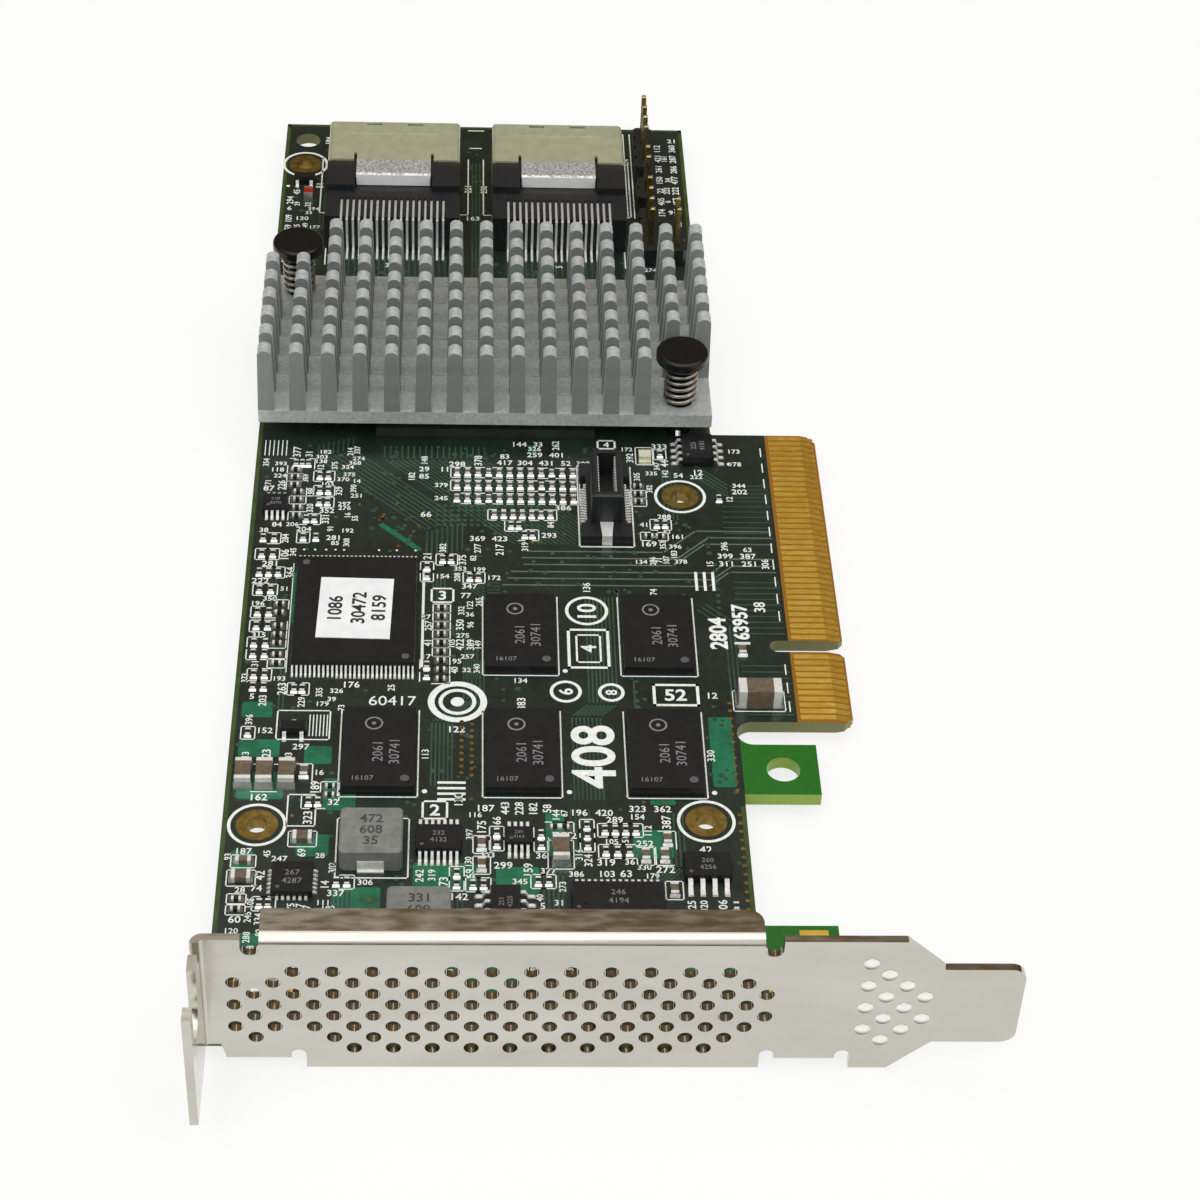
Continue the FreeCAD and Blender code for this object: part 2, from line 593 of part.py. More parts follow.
# ---- slot bracket -------------------------------------------------------------------------------
def bracket_outline():
    """Outline of the flat face in X and Z, up to where each bend starts."""
    relief_r = RELIEF_D / 2
    tab_r = TAB_RELIEF_D / 2
    flange_z = BRACKET_TOP - BEND_OUTSIDE
    relief_z = flange_z - relief_r
    tab_z = -BOARD_THICKNESS - SHEET + BEND_OUTSIDE
    tab_relief_z = tab_z + tab_r
    tongue_start = BRACKET_RIGHT - TONGUE_LENGTH
    tongue_high = TONGUE_LOW + TONGUE_WIDTH
    return [
        (BRACKET_LEFT + BEND_OUTSIDE, BRACKET_TOP, 0),
        (BRACKET_LEFT + BEND_OUTSIDE, SCREW_TAB_LOW, 0),
        (LEFT_TAB_START - LEFT_TAB_SLOPE, SCREW_TAB_LOW, 0),
        (LEFT_TAB_START, tab_z, 0),
        (LEFT_TAB_END, tab_z, 0),
        (LEFT_TAB_END, tab_relief_z, tab_r),
        (LEFT_TAB_END + TAB_RELIEF_D, tab_relief_z, tab_r),
        (LEFT_TAB_END + TAB_RELIEF_D, BRACKET_BOTTOM, 0),
        (RIGHT_TAB_START - TAB_RELIEF_D, BRACKET_BOTTOM, 0),
        (RIGHT_TAB_START - TAB_RELIEF_D, tab_relief_z, tab_r),
        (RIGHT_TAB_START, tab_relief_z, tab_r),
        (RIGHT_TAB_START, tab_z, 0),
        (RIGHT_TAB_END, tab_z, 0),
        (RIGHT_TAB_END, tab_relief_z, tab_r),
        (RIGHT_TAB_END + TAB_RELIEF_D, tab_relief_z, tab_r),
        (RIGHT_TAB_END + TAB_RELIEF_D, BRACKET_BOTTOM, 0),
        (tongue_start - SHOULDER_RUN - LOWER_SHOULDER_SHIFT, BRACKET_BOTTOM, 0),
        (tongue_start - LOWER_SHOULDER_SHIFT, TONGUE_LOW, 0),
        (BRACKET_RIGHT, TONGUE_LOW, TONGUE_CORNER),
        (BRACKET_RIGHT, tongue_high, TONGUE_CORNER),
        (tongue_start, tongue_high, 0),
        (tongue_start - SHOULDER_RUN, BRACKET_TOP, 0),
        (FLANGE_RIGHT + RELIEF_D, BRACKET_TOP, 0),
        (FLANGE_RIGHT + RELIEF_D, relief_z, relief_r),
        (FLANGE_RIGHT, relief_z, relief_r),
        (FLANGE_RIGHT, flange_z, 0),
        (FLANGE_LEFT, flange_z, 0),
        (FLANGE_LEFT, relief_z, relief_r),
        (FLANGE_LEFT - RELIEF_D, relief_z, relief_r),
        (FLANGE_LEFT - RELIEF_D, BRACKET_TOP, 0),
    ]


def vent_places():
    """Middles of the vent holes: staggered rows, shortened round the folds."""
    last = VENT_COLUMN_COUNT - 1
    rows = (
        (1, last - 1, ()), (0, last, ()), (0, last, ()), (0, last, ()),
        (0, last, ()), (0, last, ()), (0, last - 1, (1,)), (3, last - 1, ()),
    )
    places = []
    for row, (first, final, skipped) in enumerate(rows):
        shift = VENT_PITCH / 2 if row % 2 == 0 else 0
        for column in range(first, final + 1):
            if column not in skipped:
                x = VENT_FIRST_X + shift + column * VENT_PITCH
                places.append((x, VENT_TOP_Z - row * VENT_ROW_PITCH))
    return places


def dimple_places():
    """Middles of the embossed dimples: a staggered patch beside the tongue."""
    rows = ((0,), (1,), (0, 2), (1, 3), (0, 2), (1, 3), (0, 2), (1,))
    places = []
    for row, columns in enumerate(rows):
        for column in columns:
            x = DIMPLE_FIRST_X + column * DIMPLE_PITCH
            places.append((x, DIMPLE_TOP_Z - row * VENT_ROW_PITCH))
    return places


def bracket():
    face = rounded_face(bracket_outline(), lambda a, b: vec(a, BRACKET_OUT, b))
    sheet = face.extrude(vec(0, SHEET, 0))

    # Flange along the top, folded back over the board.
    flange_back = BRACKET_OUT + FLANGE_REACH
    flange = bar_along_x([
        (BRACKET_OUT, BRACKET_TOP - BEND_OUTSIDE, 0),
        (BRACKET_OUT, BRACKET_TOP, BEND_OUTSIDE),
        (flange_back, BRACKET_TOP, 0),
        (flange_back, BRACKET_TOP - SHEET, 0),
        (BRACKET_IN, BRACKET_TOP - SHEET, BEND_INSIDE),
        (BRACKET_IN, BRACKET_TOP - BEND_OUTSIDE, 0),
    ], FLANGE_LEFT, FLANGE_RIGHT)
    corner_x = FLANGE_RIGHT - FLANGE_CORNER
    corner_y = flange_back - FLANGE_CORNER
    low, high = BRACKET_TOP - SHEET - 1, BRACKET_TOP + 1
    corner = block(corner_x, FLANGE_RIGHT + 1, corner_y, flange_back + 1, low, high)
    flange = flange.cut(corner.cut(rod(corner_x, corner_y, 2 * FLANGE_CORNER, low, high)))

    # Two tabs folded back under the board, threaded for the board screws.
    tab_top = -BOARD_THICKNESS
    tab_end = BRACKET_IN + BOARD_TAB_LENGTH
    board_tabs = []
    for start, end in ((LEFT_TAB_START, LEFT_TAB_END), (RIGHT_TAB_START, RIGHT_TAB_END)):
        tab = bar_along_x([
            (BRACKET_OUT, tab_top - SHEET + BEND_OUTSIDE, 0),
            (BRACKET_IN, tab_top - SHEET + BEND_OUTSIDE, 0),
            (BRACKET_IN, tab_top, BEND_INSIDE),
            (tab_end, tab_top, 0),
            (tab_end, tab_top - SHEET, 0),
            (BRACKET_OUT, tab_top - SHEET, BEND_OUTSIDE),
        ], start, end)
        middle = (start + end) / 2
        board_tabs.append(tab.cut(rod(middle, TAB_SCREW_Y, SCREW_D, tab_top - 2, tab_top + 1)))

    # Screw tab, folded outwards at the end that the chassis holds.
    screw_tab = plate([
        (BRACKET_LEFT + BEND_OUTSIDE, BRACKET_IN, 0),
        (BRACKET_LEFT, BRACKET_IN, BEND_OUTSIDE),
        (BRACKET_LEFT, SCREW_TAB_END, 0),
        (BRACKET_LEFT + SHEET, SCREW_TAB_END, 0),
        (BRACKET_LEFT + SHEET, BRACKET_OUT, BEND_INSIDE),
        (BRACKET_LEFT + BEND_OUTSIDE, BRACKET_OUT, 0),
    ], SCREW_TAB_LOW, BRACKET_TOP)
    slot_end = SCREW_TAB_END + SCREW_SLOT_FROM_END
    slot_r = SCREW_SLOT_WIDTH / 2
    slot_floor = BRACKET_TOP - SCREW_SLOT_DEPTH
    slot = rounded_face([
        (slot_end, slot_floor, slot_r),
        (slot_end + SCREW_SLOT_WIDTH, slot_floor, slot_r),
        (slot_end + SCREW_SLOT_WIDTH, BRACKET_TOP + 1, 0),
        (slot_end, BRACKET_TOP + 1, 0),
    ], lambda a, b: vec(BRACKET_LEFT - 1, a, b)).extrude(vec(SHEET + 2, 0, 0))
    notch_end = BRACKET_OUT - BEND_INSIDE
    notch = block(BRACKET_LEFT - 1, BRACKET_LEFT + SHEET + 1, notch_end - TAB_NOTCH_WIDTH,
                  notch_end, BRACKET_TOP - TAB_NOTCH_DEPTH, BRACKET_TOP + 1)
    screw_tab = screw_tab.cut([slot, notch])

    # Embossed dimples: a cap outside and the same hollow inside.
    dimple_r = DIMPLE_D / 2
    ball_r = (dimple_r ** 2 + DIMPLE_HEIGHT ** 2) / (2 * DIMPLE_HEIGHT)
    caps = []
    hollows = []
    for x, z in dimple_places():
        caps.append(Part.makeSphere(ball_r, vec(x, BRACKET_OUT - DIMPLE_HEIGHT + ball_r, z)))
        hollows.append(Part.makeSphere(ball_r, vec(x, BRACKET_IN - DIMPLE_HEIGHT + ball_r, z)))
    outside = block(DIMPLE_FIRST_X - DIMPLE_D, BRACKET_RIGHT, BRACKET_OUT - DIMPLE_HEIGHT - 1,
                    BRACKET_OUT, BRACKET_BOTTOM, BRACKET_TOP)
    caps = [cap.common(outside) for cap in caps]

    vents = []
    for x, z in vent_places():
        vents.append(Part.makeCylinder(VENT_D / 2, SHEET + 2, vec(x, BRACKET_OUT - 1, z), vec(0, 1, 0)))
    whole = joined(sheet, [flange, screw_tab] + board_tabs + caps)
    save("slot_bracket", [whole.cut(vents + hollows)])


def board_screws():
    """Pan-head screws through the board into the bracket's threaded tabs."""
    solids = []
    thread_end = -BOARD_THICKNESS - SHEET
    head_low = COPPER
    head_top = head_low + SCREW_HEAD_HEIGHT
    for x in TAB_SCREW_XS:
        shaft = rod(x, TAB_SCREW_Y, SCREW_D, thread_end, head_low)
        head = rod(x, TAB_SCREW_Y, SCREW_HEAD_D, head_low, head_top)
        rim = [edge for edge in head.Edges if edge.CenterOfMass.z > head_top - 0.01]
        head = head.makeFillet(SCREW_HEAD_HEIGHT / 2, rim)
        slots = []
        for width, length in ((SCREW_CROSS_WIDTH, SCREW_CROSS_LENGTH),
                              (SCREW_CROSS_LENGTH, SCREW_CROSS_WIDTH)):
            slots.append(centred_block(x, TAB_SCREW_Y, width, length,
                                       head_top - SCREW_CROSS_DEPTH, head_top + 1))
        solids.append(joined(shaft, [head]).cut(slots))
    save("board_screws", solids)


# ---- processor and heatsink -----------------------------------------------------------------------
def square_slab(side, z0, z1, corner):
    half = side / 2
    middle = BOARD_WIDTH / 2
    return plate([
        (middle - half, PROCESSOR_Y - half, corner),
        (middle + half, PROCESSOR_Y - half, corner),
        (middle + half, PROCESSOR_Y + half, corner),
        (middle - half, PROCESSOR_Y + half, corner),
    ], z0, z1)


def processor():
    base = square_slab(PROCESSOR_SIDE, 0, PROCESSOR_BASE, 0)
    lid_top = PROCESSOR_BASE + PROCESSOR_LID
    lid = square_slab(PROCESSOR_LID_SIDE, PROCESSOR_BASE, lid_top, PROCESSOR_LID_CORNER)
    save("raid_processor", [joined(base, [lid])])
    save("thermal_pad", [square_slab(THERMAL_PAD_SIDE, lid_top, lid_top + THERMAL_PAD_HEIGHT, 0)])


def heatsink():
    """Extruded comb, cross-cut into pins, with two corners left free for the push pins."""
    sink_right = SINK_LEFT + SINK_WIDTH
    sink_back = SINK_FRONT + SINK_LENGTH
    base = block(SINK_LEFT, sink_right, SINK_FRONT, sink_back, SINK_LOW, SINK_DECK)
    fins = []
    shoulder = PIN_TOP - PIN_CROWN
    for column in range(PIN_COLUMN_COUNT):
        x = SINK_LEFT + PIN_FOOT / 2 + column * PIN_PITCH
        foot, tip = PIN_FOOT / 2, PIN_TIP / 2
        side_left = Part.LineSegment(vec(x - foot, SINK_FRONT, SINK_DECK),
                                     vec(x - tip, SINK_FRONT, shoulder))
        crown = Part.Arc(vec(x - tip, SINK_FRONT, shoulder), vec(x, SINK_FRONT, PIN_TOP),
                         vec(x + tip, SINK_FRONT, shoulder))
        side_right = Part.LineSegment(vec(x + tip, SINK_FRONT, shoulder),
                                      vec(x + foot, SINK_FRONT, SINK_DECK))
        foot_line = Part.LineSegment(vec(x + foot, SINK_FRONT, SINK_DECK),
                                     vec(x - foot, SINK_FRONT, SINK_DECK))
        wire = Part.Wire([side_left.toShape(), crown.toShape(), side_right.toShape(),
                          foot_line.toShape()])
        fins.append(Part.Face(wire).extrude(vec(0, SINK_LENGTH, 0)))
    comb = joined(base, fins)

    cuts = []
    gap = PIN_PITCH - PIN_LENGTH
    for row in range(PIN_ROW_COUNT - 1):
        y = SINK_FRONT + PIN_LENGTH + row * PIN_PITCH
        cuts.append(block(SINK_LEFT - 1, sink_right + 1, y, y + gap,
                          SINK_DECK - CROSS_CUT_BITE, PIN_TOP + 1))
    free_width = (FREE_COLUMN_COUNT - 1) * PIN_PITCH + PIN_FOOT + gap / 2
    free_length = (FREE_ROW_COUNT - 1) * PIN_PITCH + PIN_LENGTH + gap / 2
    cuts.append(block(sink_right - free_width, sink_right + 1, SINK_FRONT - 1,
                      SINK_FRONT + free_length, SINK_DECK, PIN_TOP + 1))
    cuts.append(block(SINK_LEFT - 1, SINK_LEFT + free_width, sink_back - free_length,
                      sink_back + 1, SINK_DECK, PIN_TOP + 1))
    for x, y in PUSH_PINS:
        cuts.append(rod(x, y, PUSH_PIN_D + 2 * PUSH_PIN_CLEARANCE, SINK_LOW - 1, SINK_DECK + 1))
    save("heatsink", [comb.cut(cuts)])


def push_pins():
    """Moulded pins whose split barbs snap under the board, and the springs round them."""
    names = ("front", "rear")
    head_low = PUSH_PIN_TOP - PUSH_PIN_HEAD
    cone_low = head_low - PUSH_PIN_CONE
    board_low = -BOARD_THICKNESS
    for name, (x, y) in zip(names, PUSH_PINS):
        section = [
            (0, BRACKET_BOTTOM),
            (BARB_TIP_D / 2, BRACKET_BOTTOM),
            (BARB_D / 2, board_low),
            (PUSH_PIN_D / 2, board_low),
            (PUSH_PIN_D / 2, cone_low),
            (PUSH_PIN_NECK_D / 2, cone_low),
            (PUSH_PIN_HEAD_D / 2, head_low),
            (PUSH_PIN_HEAD_D / 2, PUSH_PIN_TOP),
            (0, PUSH_PIN_TOP),
        ]
        pin = turned(section, x, y)
        rim = [edge for edge in pin.Edges if abs(edge.CenterOfMass.z - PUSH_PIN_TOP) < 0.01
               and edge.Length > PUSH_PIN_NECK_D]
        pin = pin.makeFillet(PUSH_PIN_HEAD / 3, rim)
        slot = centred_block(x, y, BARB_SLOT, BARB_D + 1, BRACKET_BOTTOM - 1,
                             BRACKET_BOTTOM + BARB_SLOT_LENGTH)
        save("push_pin_" + name, [pin.cut(slot)])

        coil_low = SINK_DECK + SPRING_WIRE / 2
        coil_height = cone_low - SINK_DECK - SPRING_WIRE
        path = Part.makeHelix(coil_height / SPRING_TURN_COUNT, coil_height, SPRING_MEAN_D / 2)
        ring = Part.Wire(Part.makeCircle(SPRING_WIRE / 2, vec(SPRING_MEAN_D / 2, 0, 0),
                                         vec(0, 1, 0)))
        coil = Part.Wire(path).makePipeShell([ring], True, True)
        coil.translate(vec(x, y, coil_low))
        save("push_pin_spring_" + name, [coil])


# ---- drive connectors -----------------------------------------------------------------------------
def port_lead_xs(port_x):
    return [port_x + (i - (PORT_LEAD_COUNT - 1) / 2) * PORT_LEAD_PITCH for i in range(PORT_LEAD_COUNT)]


def port_shell(port_x):
    """Folded metal shell: open at its mouth, with a tongue that laps over the housing."""
    half = SHELL_WIDTH / 2
    inner = half - SHELL_SHEET
    roof = SHELL_TOP - SHELL_SHEET
    corner_in = SHELL_CORNER - SHELL_SHEET
    sleeve = bar_along_y([
        (port_x - half, SHELL_LOW, 0),
        (port_x + half, SHELL_LOW, 0),
        (port_x + half, SHELL_TOP, SHELL_CORNER),
        (port_x - half, SHELL_TOP, SHELL_CORNER),
    ], SHELL_BACK, PORT_MOUTH)
    hollow = bar_along_y([
        (port_x - inner, SHELL_LOW + SHELL_SHEET, 0),
        (port_x + inner, SHELL_LOW + SHELL_SHEET, 0),
        (port_x + inner, roof, corner_in),
        (port_x - inner, roof, corner_in),
    ], SHELL_BACK - 1, PORT_MOUTH + 1)
    sleeve = sleeve.cut(hollow)

    tongue = bar_along_x([
        (SHELL_BACK, SHELL_TOP, 0),
        (SHELL_BACK, roof, 0),
        (LATCH_END + SHELL_SHEET, roof, corner_in / 2),
        (LATCH_END + SHELL_SHEET, SHELL_TOP - LATCH_LIP, 0),
        (LATCH_END, SHELL_TOP - LATCH_LIP, 0),
        (LATCH_END, SHELL_TOP, SHELL_CORNER),
    ], port_x - LATCH_WIDTH / 2, port_x + LATCH_WIDTH / 2)
    rib_y = PORT_MOUTH - SHELL_RIB_SETBACK
    rib = centred_block(port_x, rib_y, SHELL_RIB_WIDTH, SHELL_RIB,
                        SHELL_TOP - SHELL_SHEET / 2, SHELL_TOP + SHELL_RIB_HEIGHT)
    legs = []
    for side in (-1, 1):
        x = port_x + side * (SHELL_WIDTH - SHELL_SHEET) / 2
        for y in shell_leg_ys():
            legs.append(centred_block(x, y, SHELL_SHEET, SHELL_LEG_WIDTH, -SHELL_LEG_DEPTH,
                                      SHELL_LOW + SHELL_SHEET))
    cuts = []
    slot_y = PORT_MOUTH - SHELL_SLOT_SETBACK
    for side in (-1, 1):
        cuts.append(centred_block(port_x + side * SHELL_SLOT_X, slot_y, SHELL_SLOT_WIDTH,
                                  SHELL_SLOT_LENGTH, roof - 1, SHELL_TOP + 1))
        notch_x = port_x + side * (LATCH_WIDTH + LATCH_NOTCH) / 2
        cuts.append(block(notch_x - LATCH_NOTCH / 2, notch_x + LATCH_NOTCH / 2, SHELL_BACK - 1,
                          SHELL_BACK + LATCH_NOTCH_LENGTH, roof - 1, SHELL_TOP + 1))
    return joined(sleeve, [tongue, rib] + legs).cut(cuts)


def port_housing(port_x):
    """Moulded housing: a stepped rear with a groove for each lead, and the socket's card slot."""
    half = SHELL_WIDTH / 2 - SHELL_SHEET - HOUSING_SIDE_CLEARANCE
    outer = SHELL_WIDTH / 2
    roof = SHELL_TOP - SHELL_SHEET - HOUSING_SIDE_CLEARANCE
    floor_in_shell = SHELL_LOW + SHELL_SHEET + HOUSING_SIDE_CLEARANCE
    clear_of_shell = SHELL_BACK - HOUSING_SIDE_CLEARANCE
    step = block(port_x - outer, port_x + outer, HOUSING_REAR, clear_of_shell, HOUSING_LOW,
                 HOUSING_STEP_TOP)
    shoulder = block(port_x - outer, port_x + outer, HOUSING_REAR + HOUSING_STEP_LENGTH,
                     clear_of_shell, HOUSING_STEP_TOP, roof)
    plug = bar_along_y([
        (port_x - half, floor_in_shell, 0),
        (port_x + half, floor_in_shell, 0),
        (port_x + half, roof, SHELL_CORNER - SHELL_SHEET),
        (port_x - half, roof, SHELL_CORNER - SHELL_SHEET),
    ], clear_of_shell, HOUSING_WALL)
    nose = centred_block(port_x, HOUSING_WALL + SOCKET_BLOCK_LENGTH / 2, SOCKET_BLOCK_WIDTH,
                         SOCKET_BLOCK_LENGTH, SOCKET_BLOCK_LOW,
                         SOCKET_BLOCK_LOW + SOCKET_BLOCK_HEIGHT)
    cuts = []
    pocket_half = LATCH_WIDTH / 2 + LATCH_NOTCH / 2
    cuts.append(block(port_x - pocket_half, port_x + pocket_half,
                      LATCH_END - LATCH_POCKET_LENGTH,
                      LATCH_END + SHELL_SHEET + LATCH_POCKET_CLEARANCE,
                      SHELL_TOP - LATCH_LIP - HOUSING_SIDE_CLEARANCE, SHELL_TOP + 1))
    card_mid = SOCKET_BLOCK_LOW + SOCKET_BLOCK_HEIGHT / 2
    slot_end = HOUSING_WALL + SOCKET_BLOCK_LENGTH
    cuts.append(block(port_x - CARD_SLOT_WIDTH / 2, port_x + CARD_SLOT_WIDTH / 2,
                      HOUSING_REAR + HOUSING_STEP_LENGTH, slot_end + 1,
                      card_mid - CARD_SLOT_HEIGHT / 2, card_mid + CARD_SLOT_HEIGHT / 2))
    groove_floor = HOUSING_STEP_TOP - LEAD_GROOVE_DEPTH
    for x in port_lead_xs(port_x):
        cuts.append(block(x - LEAD_GROOVE_WIDTH / 2, x + LEAD_GROOVE_WIDTH / 2, HOUSING_REAR - 1,
                          HOUSING_REAR + LEAD_GROOVE_LENGTH, groove_floor, HOUSING_STEP_TOP + 2))
    return joined(step, [shoulder, plug, nose]).cut(cuts)


def port_leads(port_x):
    """Leads that lie in the housing's grooves, drop down its rear and stand on the board."""
    groove_floor = HOUSING_STEP_TOP - LEAD_GROOVE_DEPTH
    top = groove_floor + PORT_LEAD_SHEET
    outside = HOUSING_REAR - PORT_LEAD_SHEET
    section = sharp([
        (HOUSING_REAR + LEAD_GROOVE_LENGTH, groove_floor),
        (HOUSING_REAR + LEAD_GROOVE_LENGTH, top),
        (outside, top),
        (outside, PORT_LEAD_SHEET),
        (HOUSING_REAR - PORT_FOOT, PORT_LEAD_SHEET),
        (HOUSING_REAR - PORT_FOOT, 0),
        (HOUSING_REAR, 0),
        (HOUSING_REAR, groove_floor),
    ])
    half = PORT_LEAD_WIDTH / 2
    return [bar_along_x(section, x - half, x + half) for x in port_lead_xs(port_x)]


def drive_ports():
    for name, port_x in zip(("left", "right"), PORT_XS):
        save("drive_port_shell_" + name, [port_shell(port_x)])
        save("drive_port_housing_" + name, [port_housing(port_x)])
        save("drive_port_leads_" + name, port_leads(port_x))


# ---- pin headers ----------------------------------------------------------------------------------
def pin_headers():
    bases = []
    corner = HEADER_CORNER
    half = HEADER_BASE / 2
    for x, first_y, count in HEADER_LINES:
        cells = []
        for i in range(count):
            y = first_y + i * HEADER_PITCH
            cell = HEADER_PITCH / 2
            outline = [
                (x - half + corner, y - cell, 0), (x + half - corner, y - cell, 0),
                (x + half, y - cell + corner, 0), (x + half, y + cell - corner, 0),
                (x + half - corner, y + cell, 0), (x - half + corner, y + cell, 0),
                (x - half, y + cell - corner, 0), (x - half, y - cell + corner, 0),
            ]
            cells.append(plate(outline, 0, HEADER_BASE_HEIGHT))
        base = joined(cells[0], cells[1:])
        holes = [centred_block(x, first_y + i * HEADER_PITCH, HEADER_PIN, HEADER_PIN, -1,
                               HEADER_BASE_HEIGHT + 1) for i in range(count)]
        bases.append(base.cut(holes))
    save("header_bases", bases)

    pins = []
    low = -BOARD_THICKNESS - HEADER_TAIL
    for x, y in header_pin_places():
        pin = centred_block(x, y, HEADER_PIN, HEADER_PIN, low, HEADER_PIN_TOP)
        ends = [edge for edge in pin.Edges
                if edge.CenterOfMass.z > HEADER_PIN_TOP - 0.01 or edge.CenterOfMass.z < low + 0.01]
        pins.append(pin.makeChamfer(HEADER_POINT, ends))
    save("header_pins", pins)


# ---- board-to-board connector ----------------------------------------------------------------------
def mezzanine_connector():
    base = centred_block(MEZZ_X, MEZZ_Y, MEZZ_BASE_WIDTH - 2 * MEZZ_LEAD_REACH, MEZZ_BODY_LENGTH,
                         0, MEZZ_BASE_HEIGHT)
    ends = []
    end_length = (MEZZ_BASE_LENGTH - MEZZ_BODY_LENGTH) / 2
    for side in (-1, 1):
        y = MEZZ_Y + side * (MEZZ_BODY_LENGTH + end_length) / 2
        ends.append(centred_block(MEZZ_X, y, MEZZ_BASE_WIDTH, end_length, 0, MEZZ_BASE_HEIGHT))
    body = centred_block(MEZZ_X, MEZZ_Y, MEZZ_BODY_WIDTH, MEZZ_BODY_LENGTH, 0, MEZZ_TOP)
    rims = [edge for edge in body.Edges if abs(edge.CenterOfMass.z - MEZZ_TOP) < 0.01]
    body = body.makeChamfer(MEZZ_RIM_CHAMFER, rims)
    well = centred_block(MEZZ_X, MEZZ_Y, MEZZ_WELL_WIDTH, MEZZ_WELL_LENGTH,
                         MEZZ_TOP - MEZZ_WELL_DEPTH, MEZZ_TOP + 1)
    save("mezzanine_housing", [joined(base, ends + [body]).cut(well)])

    # Each contact has a foot on the board and a blade against the side of the well.
    feet = []
    blades = []
    foot_in = MEZZ_BASE_WIDTH / 2 - MEZZ_LEAD_REACH
    blade_in = MEZZ_WELL_WIDTH / 2
    half = MEZZ_LEAD_WIDTH / 2
    knee = MEZZ_KNEE
    blade_low = MEZZ_TOP - MEZZ_WELL_DEPTH
    blade_top = MEZZ_TOP - MEZZ_CONTACT_DROP
    sheet = MEZZ_CONTACT_SHEET
    for i in range(MEZZ_CONTACT_COUNT):
        y = MEZZ_Y + (i - (MEZZ_CONTACT_COUNT - 1) / 2) * MEZZ_PITCH
        for side in (-1, 1):
            inner = MEZZ_X + side * foot_in
            outer = MEZZ_X + side * MEZZ_BASE_WIDTH / 2
            foot = sharp([
                (inner, knee), (inner, knee - sheet), (inner + side * sheet, knee - sheet),
                (inner + side * sheet, 0), (outer, 0), (outer, sheet),
                (inner + side * 2 * sheet, sheet), (inner + side * 2 * sheet, knee),
            ])
            feet.append(bar_along_y(foot, y - half, y + half))
            wall = MEZZ_X + side * blade_in
            back = wall - side * sheet
            low_x, high_x = min(wall, back), max(wall, back)
            blades.append(block(low_x, high_x, y - half, y + half, blade_low, blade_top))
    save("mezzanine_contacts", feet + blades)

    # Hold-down clips: a tapered plate that runs from the housing down to a foot on the board.
    clips = []
    for side in (-1, 1):
        start = MEZZ_Y + side * MEZZ_BODY_LENGTH / 2
        end = MEZZ_Y + side * MEZZ_BASE_LENGTH / 2
        wide = MEZZ_CLIP_WIDTH / 2
        narrow = MEZZ_CLIP_END_WIDTH / 2
        low, high = MEZZ_BASE_HEIGHT, MEZZ_BASE_HEIGHT + sheet
        plate_end = start + side * MEZZ_CLIP_TAPER
        blade = plate(sharp([
            (MEZZ_X - wide, start), (MEZZ_X + wide, start),
            (MEZZ_X + narrow, plate_end), (MEZZ_X + narrow, end + side * sheet),
            (MEZZ_X - narrow, end + side * sheet), (MEZZ_X - narrow, plate_end),
        ]), low, high)
        near, far = sorted((end, end + side * sheet))
        drop = block(MEZZ_X - narrow, MEZZ_X + narrow, near, far, 0, low)
        clips.append(joined(blade, [drop]))
    save("mezzanine_clips", clips)


# ---- chips ----------------------------------------------------------------------------------------
def moulded_body(x, y, width, length, low, high, dot=None):
    """Moulded package whose sides slope both ways from the parting line at half height."""
    layers = []
    for z, inset in ((low, CHIP_DRAFT), ((low + high) / 2, 0), (high, CHIP_DRAFT)):
        half_w = width / 2 - inset
        half_l = length / 2 - inset
        corners = [vec(x - half_w, y - half_l, z), vec(x + half_w, y - half_l, z),
                   vec(x + half_w, y + half_l, z), vec(x - half_w, y + half_l, z)]
        layers.append(Part.makePolygon(corners + corners[:1]))
    body = Part.makeLoft(layers, True, True)
    if dot is not None:
        body = body.cut(rod(x + dot[0], y + dot[1], DOT_D, high - DOT_DEPTH, high + 1))
    return body


def gull_lead(x, y, angle, reach, shoulder, width):
    """Gull-wing lead that leaves a package at (x, y) towards the angle given in degrees."""
    run = 0.35 * reach
    foot = 0.4 * reach
    sheet = LEAD_SHEET
    lap = 0.7 * sheet
    section = sharp([
        (0, shoulder), (0, shoulder + sheet), (run, shoulder + sheet), (reach - foot, sheet),
        (reach, sheet), (reach, 0), (reach - foot - lap, 0), (run - lap, shoulder),
    ])
    lead = bar_along_y(section, -width / 2, width / 2)
    lead.rotate(vec(0, 0, 0), vec(0, 0, 1), angle)
    lead.translate(vec(x, y, 0))
    return lead


def lead_rows(x, y, width, length, count, pitch, lead_width, reach, height, along_y):
    """Leads on two opposite sides of a package; along_y puts them on the long Y sides."""
    shoulder = (CHIP_STANDOFF + height) / 2 - LEAD_SHEET / 2
    leads = []
    for i in range(count):
        step = (i - (count - 1) / 2) * pitch
        if along_y:
            leads.append(gull_lead(x + width / 2, y + step, 0, reach, shoulder, lead_width))
            leads.append(gull_lead(x - width / 2, y + step, 180, reach, shoulder, lead_width))
        else:
            leads.append(gull_lead(x + step, y + length / 2, 90, reach, shoulder, lead_width))
            leads.append(gull_lead(x + step, y - length / 2, -90, reach, shoulder, lead_width))
    return leads


